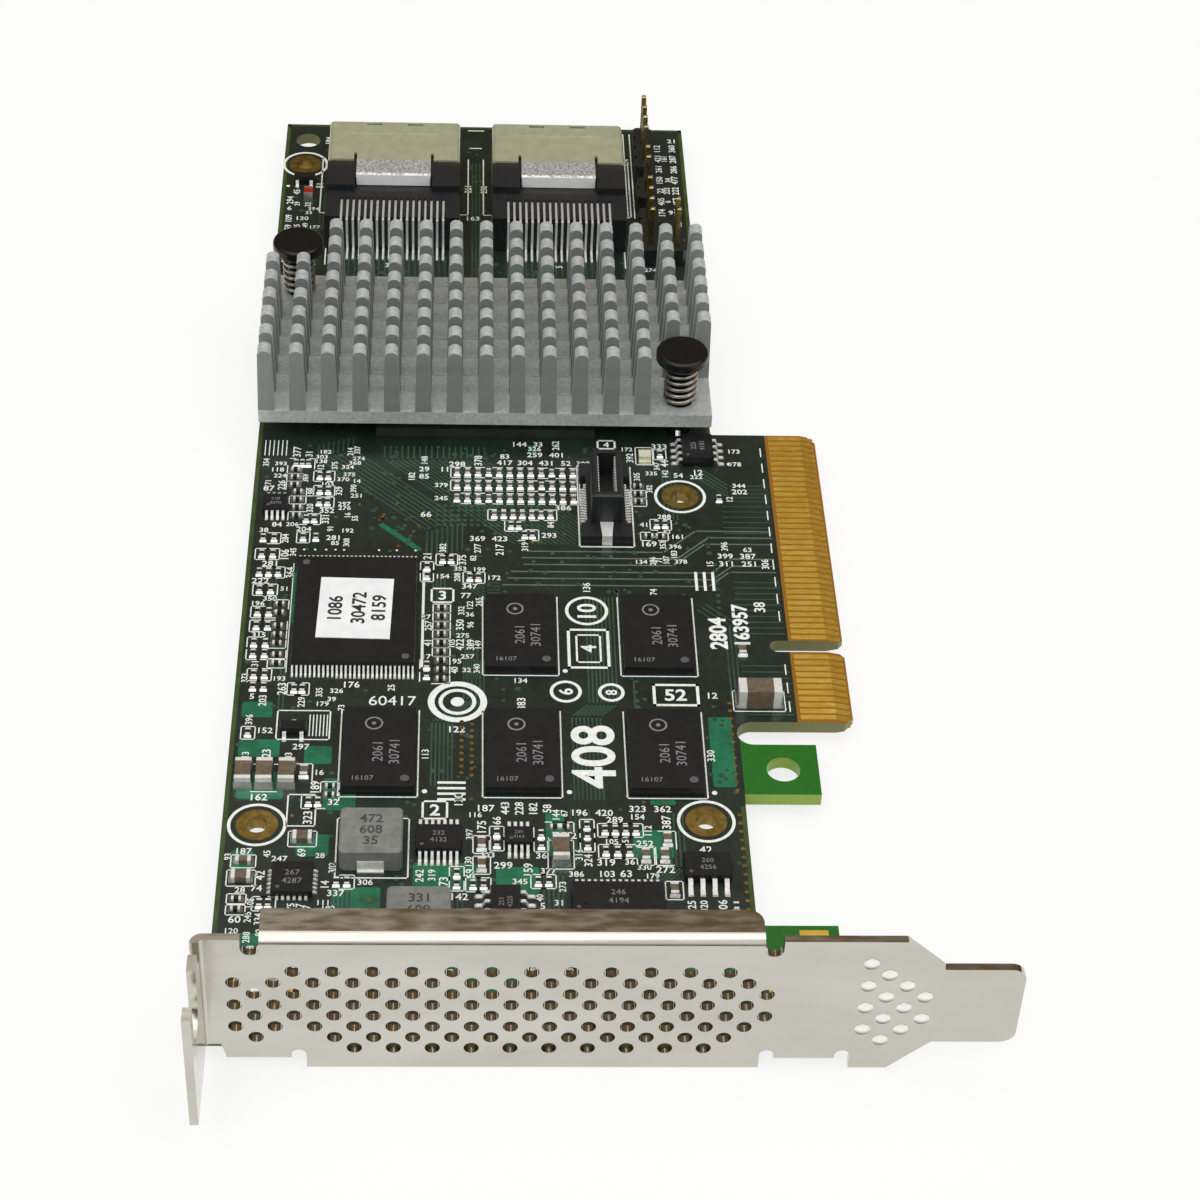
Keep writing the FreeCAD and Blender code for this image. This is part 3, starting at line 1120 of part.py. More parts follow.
def memory_chips():
    """Ball-grid memory: a thin substrate under a slightly smaller moulded cap."""
    for number, (x, y) in enumerate(MEMORY_PLACES, start=1):
        base = centred_block(x, y, MEMORY_WIDTH, MEMORY_LENGTH, 0, MEMORY_SUBSTRATE)
        cap = centred_block(x, y, MEMORY_WIDTH - CHIP_DRAFT, MEMORY_LENGTH - CHIP_DRAFT,
                            MEMORY_SUBSTRATE, MEMORY_HEIGHT)
        dot = rod(x + MEMORY_WIDTH * 0.36, y - MEMORY_LENGTH * 0.44, DOT_D,
                  MEMORY_HEIGHT - DOT_DEPTH, MEMORY_HEIGHT + 1)
        save("memory_chip_%d" % number, [joined(base, [cap]).cut(dot)])


def flash_chip():
    body = moulded_body(FLASH_X, FLASH_Y, FLASH_WIDTH, FLASH_LENGTH, CHIP_STANDOFF, FLASH_HEIGHT)
    save("flash_chip", [body])
    leads = lead_rows(FLASH_X, FLASH_Y, FLASH_WIDTH, FLASH_LENGTH, FLASH_LEAD_COUNT,
                      FLASH_LEAD_PITCH, FLASH_LEAD_WIDTH, FLASH_LEAD_REACH, FLASH_HEIGHT, False)
    save("flash_chip_leads", leads)
    label = centred_block(FLASH_X, FLASH_Y, LABEL_WIDTH, LABEL_LENGTH, FLASH_HEIGHT,
                          FLASH_HEIGHT + LABEL_THICKNESS)
    label.rotate(vec(FLASH_X, FLASH_Y, 0), vec(0, 0, 1), LABEL_TURN)
    save("flash_chip_label", [label])


# Small gull-wing chips: name, x, y, body width, body length, height, leads a side, pitch,
# lead width, lead reach, and whether the leads are on the sides that face X.
SMALL_CHIPS = (
    ("temperature_sensor", across(2.85), 82.15, 3.0, 2.9, 0.95, 4, 0.65, 0.3, 1.0, False),
    ("identity_chip", BOARD_WIDTH - 1.9, SINK_FRONT - 2.15, 3.9, 4.9, 1.4, 4, 1.27, 0.42, 1.2, True),
    ("level_shifter", across(22.95), 26.5, 4.9, 3.7, 1.0, 7, 0.65, 0.3, 1.4, False),
    ("supervisor_chip", across(31.4), 26.9, 3.0, 2.5, 0.95, 4, 0.65, 0.3, 1.3, False),
    ("clock_buffer", across(41.65), 17.9, 9.7, 4.4, 1.1, 14, 0.65, 0.28, 1.0, False),
    ("serial_memory", across(29.95), 16.8, 3.2, 4.9, 1.4, 4, 1.27, 0.42, 1.4, True),
)
# Power switch: a flat package with broad leads on the side that faces the bracket.
SWITCH_X, SWITCH_Y = across(51.2), 22.7
SWITCH_WIDTH, SWITCH_LENGTH, SWITCH_HEIGHT = 5.0, 3.6, 1.0
SWITCH_LEAD_COUNT = 4
SWITCH_LEAD_PITCH, SWITCH_LEAD_WIDTH, SWITCH_LEAD_REACH = 1.27, 0.5, 1.9
# Flat no-lead power controller.
CONTROLLER_X, CONTROLLER_Y = across(7.85), 20.7
CONTROLLER_SIDE, CONTROLLER_HEIGHT = 4.3, 0.9
CONTROLLER_PAD_COUNT, CONTROLLER_PAD_PITCH, CONTROLLER_PAD_WIDTH = 6, 0.6, 0.28
# Three-leg transistors: x, y, and 1 or -1 for the side of the two legs.
TRANSISTORS = ((across(6.85), 43.4, -1), (3.05, BOARD_LENGTH - 14.6, -1))
TRANSISTOR_WIDTH, TRANSISTOR_LENGTH, TRANSISTOR_HEIGHT = 2.9, 1.5, 1.0
TRANSISTOR_LEG_GAP, TRANSISTOR_LEG_WIDTH, TRANSISTOR_LEG_REACH = 1.9, 0.42, 0.85


def small_chips():
    leads = []
    for name, x, y, width, length, height, count, pitch, lead_width, reach, sides in SMALL_CHIPS:
        dot = (-width * 0.36, -length * 0.3)
        save(name, [moulded_body(x, y, width, length, CHIP_STANDOFF, height, dot)])
        leads += lead_rows(x, y, width, length, count, pitch, lead_width, reach, height, sides)

    body = moulded_body(SWITCH_X, SWITCH_Y, SWITCH_WIDTH, SWITCH_LENGTH, CHIP_STANDOFF,
                        SWITCH_HEIGHT)
    save("power_switch", [body])
    shoulder = (CHIP_STANDOFF + SWITCH_HEIGHT) / 2 - LEAD_SHEET / 2
    for i in range(SWITCH_LEAD_COUNT):
        x = SWITCH_X + (i - (SWITCH_LEAD_COUNT - 1) / 2) * SWITCH_LEAD_PITCH
        leads.append(gull_lead(x, SWITCH_Y - SWITCH_LENGTH / 2, -90, SWITCH_LEAD_REACH, shoulder,
                               SWITCH_LEAD_WIDTH))

    half = CONTROLLER_SIDE / 2
    body = centred_block(CONTROLLER_X, CONTROLLER_Y, CONTROLLER_SIDE, CONTROLLER_SIDE, COPPER,
                         CONTROLLER_HEIGHT)
    save("power_controller", [body])
    for i in range(CONTROLLER_PAD_COUNT):
        step = (i - (CONTROLLER_PAD_COUNT - 1) / 2) * CONTROLLER_PAD_PITCH
        for side in (-1, 1):
            across = side * (half + CONTROLLER_PAD_WIDTH / 2)
            for dx, dy in ((step, across), (across, step)):
                leads.append(centred_block(CONTROLLER_X + dx, CONTROLLER_Y + dy,
                                           CONTROLLER_PAD_WIDTH, CONTROLLER_PAD_WIDTH, 0,
                                           CONTROLLER_PAD_HEIGHT))

    bodies = []
    shoulder = (CHIP_STANDOFF + TRANSISTOR_HEIGHT) / 2 - LEAD_SHEET / 2
    for x, y, side in TRANSISTORS:
        bodies.append(moulded_body(x, y, TRANSISTOR_WIDTH, TRANSISTOR_LENGTH, CHIP_STANDOFF,
                                   TRANSISTOR_HEIGHT))
        near = y + side * TRANSISTOR_LENGTH / 2
        far = y - side * TRANSISTOR_LENGTH / 2
        for dx in (-TRANSISTOR_LEG_GAP / 2, TRANSISTOR_LEG_GAP / 2):
            leads.append(gull_lead(x + dx, near, side * 90, TRANSISTOR_LEG_REACH, shoulder,
                                   TRANSISTOR_LEG_WIDTH))
        leads.append(gull_lead(x, far, -side * 90, TRANSISTOR_LEG_REACH, shoulder,
                               TRANSISTOR_LEG_WIDTH))
    save("transistors", bodies)
    save("small_chip_leads", leads)


# ---- inductors, capacitors and resistors -------------------------------------------------------------
INDUCTORS = (("output_inductor", across(15.9), 25.7), ("input_inductor", across(21.05), 14.4))

# Case sizes: length, width, height, length of each end cap.
CASES = {
    "large": (4.8, 2.3, 2.5, 0.9),
    "1206": (3.2, 1.7, 1.6, 0.5),
    "0805": (2.0, 1.25, 0.8, 0.4),
    "0603": (1.6, 0.8, 0.6, 0.35),
    "0402": (1.0, 0.5, 0.35, 0.25),
}
# Single capacitors: case, x, y, turned to lie along Y.
SINGLE_CAPACITORS = (
    ("1206", 1.85, 36.0, True), ("1206", 4.1, 36.0, True), ("1206", 6.5, 36.0, True),
    ("1206", 35.85, 24.8, True), ("large", 58.5, 48.65, False),
    ("0603", 8.3, 36.9, True), ("0603", 57.2, 57.0, True), ("0805", 8.6, 26.9, False),
    ("0603", 27.5, 26.2, True), ("0603", 27.5, 23.2, True), ("0603", 2.6, 23.6, False),
    ("0805", 2.5, 21.2, False), ("0603", 44.8, 24.6, True), ("0603", 46.8, 24.6, True),
    ("0603", 47.2, 27.0, True), ("0603", 47.6, 19.7, True),
)
# Runs of small parts: first x, first y, step in x, step in y, count, turned to lie along Y.
CAPACITOR_RUNS = (
    (24.5, MEZZ_Y + 1.45, ARRAY_PITCH, 0, 12, True),
    (24.5, MEZZ_Y + 1.45 + ARRAY_ROW_PITCH, ARRAY_PITCH, 0, 12, True),
    (24.5, MEZZ_Y + 1.45 + 2 * ARRAY_ROW_PITCH, ARRAY_PITCH, 0, 12, True),
    (29.0, MEZZ_Y - 1.6, 1.12, 0, 7, True),
)
RESISTOR_RUNS = (
    (31.0, MEZZ_Y - 3.65, 0.9, 0, 2, True), (32.6, MEZZ_Y - 5.35, 0.9, 0, 2, True),
    (2.0, 52.4, 1.2, 0, 2, True), (2.0, 50.4, 1.2, 0, 2, True),
    (1.7, 55.9, 1.3, 0, 2, True), (1.7, 57.7, 1.3, 0, 2, True),
    (1.8, 60.6, 1.3, 0, 2, True), (1.8, 63.0, 1.3, 0, 2, True), (1.8, 66.9, 1.3, 0, 2, True),
    (1.6, 70.0, 1.1, 0, 3, True), (1.7, 73.3, 1.3, 0, 2, True), (1.7, 76.2, 1.3, 0, 2, True),
    (4.3, 57.6, 0, 1.5, 3, False), (4.3, 62.9, 0, 1.5, 2, False), (4.4, 54.3, 0, 1.4, 2, False),
    (22.9, 51.9, 0, 1.5, 9, False), (21.3, 52.5, 0, 1.6, 2, True),
    (6.6, 50.1, 0.9, 0, 2, True), (1.9, 43.0, 1.0, 0, 1, True),
    (5.4, 80.4, 0, 1.5, 4, False), (6.6, 79.8, 0.95, 0, 2, True), (6.4, 76.4, 1.5, 0, 2, True),
    (4.9, 86.2, 0, 1.5, 3, False), (4.9, 90.4, 0.75, 0, 3, True), (7.9, 88.0, 1.0, 0, 2, True),
    (8.0, 85.2, 1.0, 0, 2, True), (8.0, 83.0, 1.0, 0, 2, True),
    (40.6, 25.3, 1.25, 0, 3, True), (40.6, 28.4, 1.1, 0, 4, True), (38.7, 29.0, 0, -1.4, 3, True),
    (33.8, 27.7, 0, -1.5, 2, True), (29.1, 27.9, 0, -1.6, 2, True), (26.6, 20.4, 1.1, 0, 2, True),
    (33.4, 20.9, 1.1, 0, 2, True), (12.4, 20.7, 1.1, 0, 2, True),
    (24.9, 20.5, 0, 1.5, 2, True), (48.4, 79.4, 1.0, 0, 2, True), (47.4, 77.2, 1.3, 0, 2, False),
    (46.4, MEZZ_Y + 1.05, 0, 1.5, 3, False), (49.4, SINK_FRONT - 2.3, 0, 1.0, 1, True),
    (21.1, 69.6, 0, 1.6, 2, True), (22.9, 72.6, 1.0, 0, 2, True),
    (26.1, 69.4, 1.0, 0, 2, True), (56.2, 84.4, 0, 1.0, 1, True),
    (2.2, 18.2, 0, -1.4, 2, False), (4.6, 17.6, 0.9, 0, 2, True), (9.0, 32.4, 1.0, 0, 2, True),
    (11.2, 34.7, 0, -1.3, 2, False), (53.9, 17.4, 0, 1.3, 1, True), (35.3, 28.8, 1.0, 0, 2, False),
)


def chip_part(case, x, y, along_y):
    """Body and two end caps of a chip capacitor or resistor."""
    length, width, height, cap = CASES[case]
    proud = TERMINAL_PROUD
    body = centred_block(x, y, length - 2 * cap, width, proud, height - proud)
    caps = []
    for side in (-1, 1):
        cap_x = x + side * (length - cap) / 2
        caps.append(centred_block(cap_x, y, cap, width + 2 * proud, 0, height))
    if along_y:
        for piece in [body] + caps:
            piece.rotate(vec(x, y, 0), vec(0, 0, 1), 90)
    return body, caps


def run_places(runs):
    places = []
    for x, y, step_x, step_y, count, along_y in runs:
        for i in range(count):
            places.append((across(x) + i * step_x, y + i * step_y, along_y))
    return places


def passive_parts():
    for name, x, y in INDUCTORS:
        half = INDUCTOR_SIDE / 2
        body = plate([
            (x - half, y - half, INDUCTOR_CORNER), (x + half, y - half, INDUCTOR_CORNER),
            (x + half, y + half, INDUCTOR_CORNER), (x - half, y + half, INDUCTOR_CORNER),
        ], 0, INDUCTOR_HEIGHT)
        rim = [edge for edge in body.Edges if edge.CenterOfMass.z > INDUCTOR_HEIGHT - 0.01]
        save(name, [body.makeChamfer(INDUCTOR_CHAMFER, rim)])
    terminals = []
    for _, x, y in INDUCTORS:
        for side in (-1, 1):
            face = y + side * INDUCTOR_SIDE / 2
            sheet = LEAD_SHEET
            section = [
                (face, 0), (face + side * INDUCTOR_TERMINAL_FOOT, 0),
                (face + side * INDUCTOR_TERMINAL_FOOT, sheet), (face + side * sheet, sheet),
                (face + side * sheet, INDUCTOR_HEIGHT / 2), (face, INDUCTOR_HEIGHT / 2),
            ]
            wide = INDUCTOR_TERMINAL_WIDTH / 2
            terminals.append(bar_along_x(sharp(section), x - wide, x + wide))
    save("inductor_terminals", terminals)

    capacitor_bodies = []
    resistor_bodies = []
    capacitor_ends = []
    resistor_ends = []
    places = [(case, across(x), y, turn) for case, x, y, turn in SINGLE_CAPACITORS]
    places += [("0402", x, y, turn) for x, y, turn in run_places(CAPACITOR_RUNS)]
    for case, x, y, turn in places:
        body, caps = chip_part(case, x, y, turn)
        capacitor_bodies.append(body)
        capacitor_ends += caps
    for x, y, turn in run_places(RESISTOR_RUNS):
        body, caps = chip_part("0402", x, y, turn)
        resistor_bodies.append(body)
        resistor_ends += caps
    save("chip_capacitors", capacitor_bodies)
    save("chip_capacitor_ends", capacitor_ends)
    save("chip_resistors", resistor_bodies)
    save("chip_resistor_ends", resistor_ends)


# Status light by the processor and the red light at the far end: x, y, width, length, height.
LIGHTS = (
    ("status_light", across(47.5), SINK_FRONT - 3.0, 1.5, 2.4, 0.8),
    ("fault_light", 3.75, BOARD_LENGTH - 18.2, 1.2, 1.9, 0.9),
)


def lights():
    for name, x, y, width, length, height in LIGHTS:
        foot = centred_block(x, y, width, length, 0, height * 0.4)
        lens = centred_block(x, y, width, length * 0.6, height * 0.4, height)
        save(name, [joined(foot, [lens])])


def main():
    os.makedirs("parts", exist_ok=True)
    circuit_board()
    edge_contacts()
    plated_pads()
    screw_pads()
    bracket()
    board_screws()
    processor()
    heatsink()
    push_pins()
    drive_ports()
    pin_headers()
    mezzanine_connector()
    memory_chips()
    flash_chip()
    small_chips()
    passive_parts()
    lights()


main()
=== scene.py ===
"""Looks of a low-profile raid controller card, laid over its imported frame.

Every place comes from the frame: the board's plain corner at the bracket is the corner
of the card's drawing, and the drawing is in millimetres.
"""

from __future__ import annotations

import json
import logging
import math
import random
from collections import defaultdict
from dataclasses import dataclass, field
from enum import Enum
from typing import Any, Iterable, Mapping, Sequence

import bmesh
import bpy
from mathutils import Matrix, Vector

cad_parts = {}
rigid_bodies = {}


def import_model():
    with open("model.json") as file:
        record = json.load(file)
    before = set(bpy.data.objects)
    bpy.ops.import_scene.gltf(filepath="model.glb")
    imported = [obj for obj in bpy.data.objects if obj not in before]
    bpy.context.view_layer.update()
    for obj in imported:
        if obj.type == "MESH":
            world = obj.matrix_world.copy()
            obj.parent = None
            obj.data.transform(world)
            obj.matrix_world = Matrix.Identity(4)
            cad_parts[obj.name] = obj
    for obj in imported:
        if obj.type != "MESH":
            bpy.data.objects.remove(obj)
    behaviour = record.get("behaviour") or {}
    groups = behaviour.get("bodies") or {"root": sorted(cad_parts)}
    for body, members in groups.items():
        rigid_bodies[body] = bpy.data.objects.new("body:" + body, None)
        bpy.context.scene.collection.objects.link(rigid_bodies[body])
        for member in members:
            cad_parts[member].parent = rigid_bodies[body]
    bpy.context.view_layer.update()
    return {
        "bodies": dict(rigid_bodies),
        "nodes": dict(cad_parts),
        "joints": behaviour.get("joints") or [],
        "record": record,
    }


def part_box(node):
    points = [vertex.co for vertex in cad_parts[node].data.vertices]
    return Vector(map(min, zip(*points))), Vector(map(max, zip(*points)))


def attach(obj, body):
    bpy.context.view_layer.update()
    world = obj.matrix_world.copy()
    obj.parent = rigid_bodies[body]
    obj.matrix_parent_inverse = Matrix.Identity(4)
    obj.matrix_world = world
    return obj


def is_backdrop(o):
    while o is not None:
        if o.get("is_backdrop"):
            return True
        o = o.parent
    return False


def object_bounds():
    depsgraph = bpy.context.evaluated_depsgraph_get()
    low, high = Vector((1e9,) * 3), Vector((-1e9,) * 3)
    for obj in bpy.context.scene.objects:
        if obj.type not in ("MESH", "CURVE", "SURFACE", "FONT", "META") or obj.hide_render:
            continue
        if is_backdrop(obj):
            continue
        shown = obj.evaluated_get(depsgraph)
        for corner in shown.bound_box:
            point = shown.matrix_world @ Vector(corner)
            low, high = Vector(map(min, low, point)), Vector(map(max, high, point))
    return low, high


LOG = logging.getLogger("raid_card")
MM = 0.001
Spot = tuple[float, float]
Box = tuple[float, float, float, float]
Tree = bpy.types.NodeTree
Socket = bpy.types.NodeSocket
MIXED: dict[str, bpy.types.Material] = {}  # finishes that are already mixed

# ---------------------------------------------------------------- places on the drawing

PLATED_HOLES: tuple[Spot, ...] = ((3.7, 28.95), (51.5, 29.8), (51.5, 84.8), (3.0, 157.2))
SIDE_X = 55.95  # just past the board's long side
FINGERS_X = 62.6  # start of the gold fingers
TAB_Y = (32.5, 43.4)  # latch tab
LEG_Y = 15.5  # end of the leg at the bracket
SAWN_Z = 4.45  # deck of the heatsink
LAP_Y = 148.7  # front of the shells' boxes, where their tongues start
BUMPS_X = 60.0  # bracket's bumps lie beyond this
BUMPS_Y = -1.385  # just outside the bracket's outer face
SINK_Y = (94.9, 125.0)  # strip under the heatsink


# ---------------------------------------------------------------- colours and nodes


def linear(code: str) -> tuple[float, float, float, float]:
    """Turns an sRGB hex code into a linear colour.

    Args:
        code: six hex digits, red first.

    Returns:
        Red, green, blue and full alpha.
    """
    steps = (int(code[i : i + 2], 16) / 255.0 for i in (0, 2, 4))
    red, green, blue = (s / 12.92 if s <= 0.04045 else ((s + 0.055) / 1.055) ** 2.4 for s in steps)
    return red, green, blue, 1.0


def per_mm(size: float) -> float:
    """Gives the pattern scale at which one feature is size millimetres wide."""
    return 1.0 / (size * MM)


def add_node(
    tree: Tree,
    kind: str,
    inputs: Mapping[str | int, Any] | None = None,
    links: Mapping[str | int, Socket] | None = None,
    **settings: Any,
) -> bpy.types.Node:
    """Adds one shader node with its settings, values and links.

    Args:
        tree: the node tree that gets the node.
        kind: the node's type.
        inputs: values for its sockets.
        links: outputs that feed its sockets.
        settings: the node's own properties.

    Returns:
        The new node.
    """
    node = tree.nodes.new(kind)
    for name, value in settings.items():
        setattr(node, name, value)
    for socket, value in (inputs or {}).items():
        node.inputs[socket].default_value = value
    for socket, output in (links or {}).items():
        tree.links.new(output, node.inputs[socket])
    return node


def mottled(
    tree: Tree, place: Socket, colours: Sequence[str], size: float, detail: float, spread: Spot
) -> Socket:
    """Mixes two colours in soft patches.

    Args:
        tree: the material's nodes.
        place: object coordinates.
        colours: the two hex codes.
        size: how wide a patch is, in millimetres.
        detail: how ragged the patches are.
        spread: the noise levels at which only the first or the second colour is left.

    Returns:
        The colour output.
    """
    drift = add_node(tree, "ShaderNodeTexNoise", {"Scale": per_mm(size), "Detail": detail}, {"Vector": place})
    share = add_node(
        tree, "ShaderNodeMapRange", {"From Min": spread[0], "From Max": spread[1]},
        {"Value": drift.outputs["Fac"]},
    )
    return add_node(
        tree, "ShaderNodeMix", {6: linear(colours[0]), 7: linear(colours[1])}, {0: share.outputs["Result"]},
        data_type="RGBA",
    ).outputs[2]


def where(tree: Tree, vector: Socket, *limits: tuple[str, str, float]) -> Socket:
    """Marks the region in which every limit on a vector holds.

    Args:
        tree: the material's nodes.
        vector: what is compared.
        limits: each limit's axis, comparison and value.

    Returns:
        1 inside the region and 0 outside.
    """
    axes = add_node(tree, "ShaderNodeSeparateXYZ", links={"Vector": vector}).outputs
    marks = [
        add_node(tree, "ShaderNodeMath", {1: value}, {0: axes[axis]}, operation=test).outputs[0]
        for axis, test, value in limits
    ]
    region = marks[0]
    for mark in marks[1:]:
        region = add_node(tree, "ShaderNodeMath", links={0: region, 1: mark}, operation="MULTIPLY").outputs[0]
    return region


def facing(tree: Tree, axis: str, least: float) -> Socket:
    """Marks the faces that look along an axis, either way.

    Args:
        tree: the material's nodes.
        axis: X, Y or Z.
        least: the least share of the face's direction that lies along the axis.

    Returns:
        1 on those faces and 0 on the others.
    """
    turned = add_node(tree, "ShaderNodeTexCoord").outputs["Normal"]
    shares = add_node(tree, "ShaderNodeVectorMath", links={0: turned}, operation="ABSOLUTE").outputs[0]
    return where(tree, shares, (axis, "GREATER_THAN", least))


# ---------------------------------------------------------------- finishes


@dataclass(frozen=True)
class Finish:
    """A surface whose colour drifts in soft patches over a fine grain."""

    name: str
    colour: str
    patch: str
    roughness: float
    swing: float = 0.06
    metallic: float = 0.0
    ior: float = 1.5
    patch_mm: float = 3.0
    grain_mm: float = 0.3
    grain_depth_mm: float = 0.01
    draw: tuple[float, float, float] = (1.0, 1.0, 1.0)
    coat: float = 0.0

    def shade(self, tree: Tree, place: Socket) -> Socket:
        """Makes the colour of the surface.

        Args:
            tree: the material's nodes.
            place: object coordinates.

        Returns:
            The colour output.
        """
        return mottled(tree, place, (self.colour, self.patch), self.patch_mm, 4.0, (0.36, 0.64))

    def relief(self, tree: Tree, place: Socket) -> Socket:
        """Makes the height of the surface, from 0 to 1 of the grain's depth.

        Args:
            tree: the material's nodes.
            place: object coordinates.

        Returns:
            The height output.
        """
        grain = add_node(
            tree, "ShaderNodeTexNoise", {"Scale": per_mm(self.grain_mm), "Detail": 2.0}, {"Vector": place}
        )
        return grain.outputs["Fac"]

    def metal(self, tree: Tree, place: Socket) -> Socket | None:
        """Says where the surface is metal, for a finish in which that changes from place to place.

        Args:
            tree: the material's nodes.
            place: object coordinates.

        Returns:
            The share of metal, or None where it is the same all over.
        """
        return None

    def material(self) -> bpy.types.Material:
        """Builds the finish's material the first time it is asked for.

        Returns:
            The material.
        """
        if self.name in MIXED:
            return MIXED[self.name]
        material = MIXED[self.name] = bpy.data.materials.new(self.name)
        material.use_nodes = True
        tree = material.node_tree
        tree.nodes.clear()
        spot = add_node(tree, "ShaderNodeTexCoord").outputs["Object"]
        place = add_node(tree, "ShaderNodeMapping", {"Scale": self.draw}, {"Vector": spot}).outputs["Vector"]
        height = self.relief(tree, place)
        rough = add_node(
            tree,
            "ShaderNodeMapRange",
            {
                "From Min": 0.3,
                "From Max": 0.7,
                "To Min": max(self.roughness - self.swing, 0.02),
                "To Max": min(self.roughness + self.swing, 1.0),
            },
            {"Value": height},
        )
        bump = add_node(
            tree, "ShaderNodeBump", {"Strength": 1.0, "Distance": self.grain_depth_mm * MM}, {"Height": height}
        )
        values: dict[str | int, Any] = {"Metallic": self.metallic, "Coat Weight": self.coat}
        if not self.metallic:
            values["IOR"] = self.ior
        links: dict[str | int, Socket] = {
            "Base Color": self.shade(tree, place),
            "Roughness": rough.outputs["Result"],
            "Normal": bump.outputs["Normal"],
        }
        metal = self.metal(tree, place)
        if metal:
            links["Metallic"] = metal
        skin = add_node(tree, "ShaderNodeBsdfPrincipled", values, links)
        add_node(tree, "ShaderNodeOutputMaterial", links={"Surface": skin.outputs["BSDF"]})
        return material


@dataclass(frozen=True)
class MaskedLaminate(Finish):
    """Solder mask on the faces, bare glass-epoxy on the cut sides and between the gold fingers."""

    side: str = "6E7040"
    tab: str = "1E691A"
    tab_rim: str = "8BA838"
    bare: str = "8E611D"
    side_x: float = 0.0
    finger_x: float = 0.0
    tab_y: Spot = (0.0, 0.0)
    leg_y: float = 0.0

    def shade(self, tree: Tree, place: Socket) -> Socket:
        """Makes the mask's colour, then the tab's and leg's, then that of the cut sides.

        Args:
            tree: the material's nodes.
            place: object coordinates.

        Returns:
            The colour output.
        """
        low, high = self.tab_y
        outside = ("X", "GREATER_THAN", self.side_x)
        tab = where(tree, place, outside, ("Y", "GREATER_THAN", low), ("Y", "LESS_THAN", high))
        leg = where(tree, place, outside, ("Y", "LESS_THAN", self.leg_y))
        thin = add_node(tree, "ShaderNodeMath", links={0: tab, 1: leg}, operation="MAXIMUM").outputs[0]
        fingers = where(tree, place, ("X", "GREATER_THAN", self.finger_x), ("Y", "GREATER_THAN", high))
        face = super().shade(tree, place)
        for region, colour in ((thin, self.tab), (fingers, self.bare)):
            face = add_node(
                tree, "ShaderNodeMix", {7: linear(colour)}, {0: region, 6: face}, data_type="RGBA"
            ).outputs[2]
        rim = add_node(
            tree, "ShaderNodeMix", {6: linear(self.side), 7: linear(self.tab_rim)}, {0: thin}, data_type="RGBA"
        ).outputs[2]
        flat = facing(tree, "Z", 0.5)
        return add_node(tree, "ShaderNodeMix", links={0: flat, 6: rim, 7: face}, data_type="RGBA").outputs[2]


@dataclass(frozen=True)
class EmbossedSheet(Finish):
    """Plated sheet with small bumps that the press tool left dull, painted white where they face up and grey
    where they turn down: a painted highlight and painted shade.
    """

    crown: str = "F6F5EF"
    # painted shade: the grey of a bump where it turns down
    foot: str = "33312D"
    crown_metallic: float = 0.1
    foot_tilt: Spot = (-0.42, 0.05)  # downward tilts at which a bump is all grey and all white
    crown_x: float = 0.0
    crown_y: float = 0.0

    def on_crown(self, tree: Tree, place: Socket) -> Socket:
        """Marks the bumps, which stand proud of the sheet's outer face.

        Args:
            tree: the material's nodes.
            place: object coordinates.

        Returns:
            1 on a bump and 0 elsewhere.
        """
        beyond = self.crown_x * self.draw[0]
        return where(tree, place, ("Y", "LESS_THAN", self.crown_y), ("X", "GREATER_THAN", beyond))

    def shade(self, tree: Tree, place: Socket) -> Socket:
        """Makes the sheet's colour, then the bumps: a painted highlight where they face up, painted shade where
        they turn down.

        Args:
            tree: the material's nodes.
            place: object coordinates.

        Returns:
            The colour output.
        """
        sheet = super().shade(tree, place)
        # Painted highlight and painted shade: white where a bump faces up, grey where it turns down.
        turned = add_node(tree, "ShaderNodeTexCoord").outputs["Normal"]
        upwards = add_node(tree, "ShaderNodeSeparateXYZ", links={"Vector": turned}).outputs["Z"]
        low, high = self.foot_tilt
        lit_share = add_node(
            tree, "ShaderNodeMapRange", {"From Min": low, "From Max": high}, {"Value": upwards}
        ).outputs["Result"]
        bump = add_node(
            tree, "ShaderNodeMix", {6: linear(self.foot), 7: linear(self.crown)}, {0: lit_share}, data_type="RGBA"
        ).outputs[2]
        proud = self.on_crown(tree, place)
        return add_node(tree, "ShaderNodeMix", links={0: proud, 6: sheet, 7: bump}, data_type="RGBA").outputs[2]

    def metal(self, tree: Tree, place: Socket) -> Socket | None:
        """Makes the bumps dull, so that they shade softly instead of mirroring.

        Args:
            tree: the material's nodes.
            place: object coordinates.

        Returns:
            The share of metal.
        """
        ends = {"To Min": self.metallic, "To Max": self.crown_metallic}
        proud = self.on_crown(tree, place)
        return add_node(tree, "ShaderNodeMapRange", ends, {"Value": proud}).outputs["Result"]


@dataclass(frozen=True)
class LappedShell(Finish):
    """Tin plate that is smooth over the box, with a painted sheen where the tongue laps the housing: a paler,
    mottled grey.
    """

    tongue: str = "DADBD8"
    scuff: str = "9C9E9B"
    scuff_mm: float = 0.3
    lap_y: float = 0.0

    def shade(self, tree: Tree, place: Socket) -> Socket:
        """Makes the plate's colour and the tongue's paler, mottled one, a painted sheen.

        Args:
            tree: the material's nodes.
            place: object coordinates.

        Returns:
            The colour output.
        """
        plate = super().shade(tree, place)
        tongue_sheen = mottled(tree, place, (self.tongue, self.scuff), self.scuff_mm, 3.0, (0.42, 0.6))
        # Painted sheen: the tongue gets the paler, mottled grey.
        lapping = where(tree, place, ("Y", "LESS_THAN", self.lap_y))
        return add_node(
            tree, "ShaderNodeMix", links={0: lapping, 6: plate, 7: tongue_sheen}, data_type="RGBA"
        ).outputs[2]


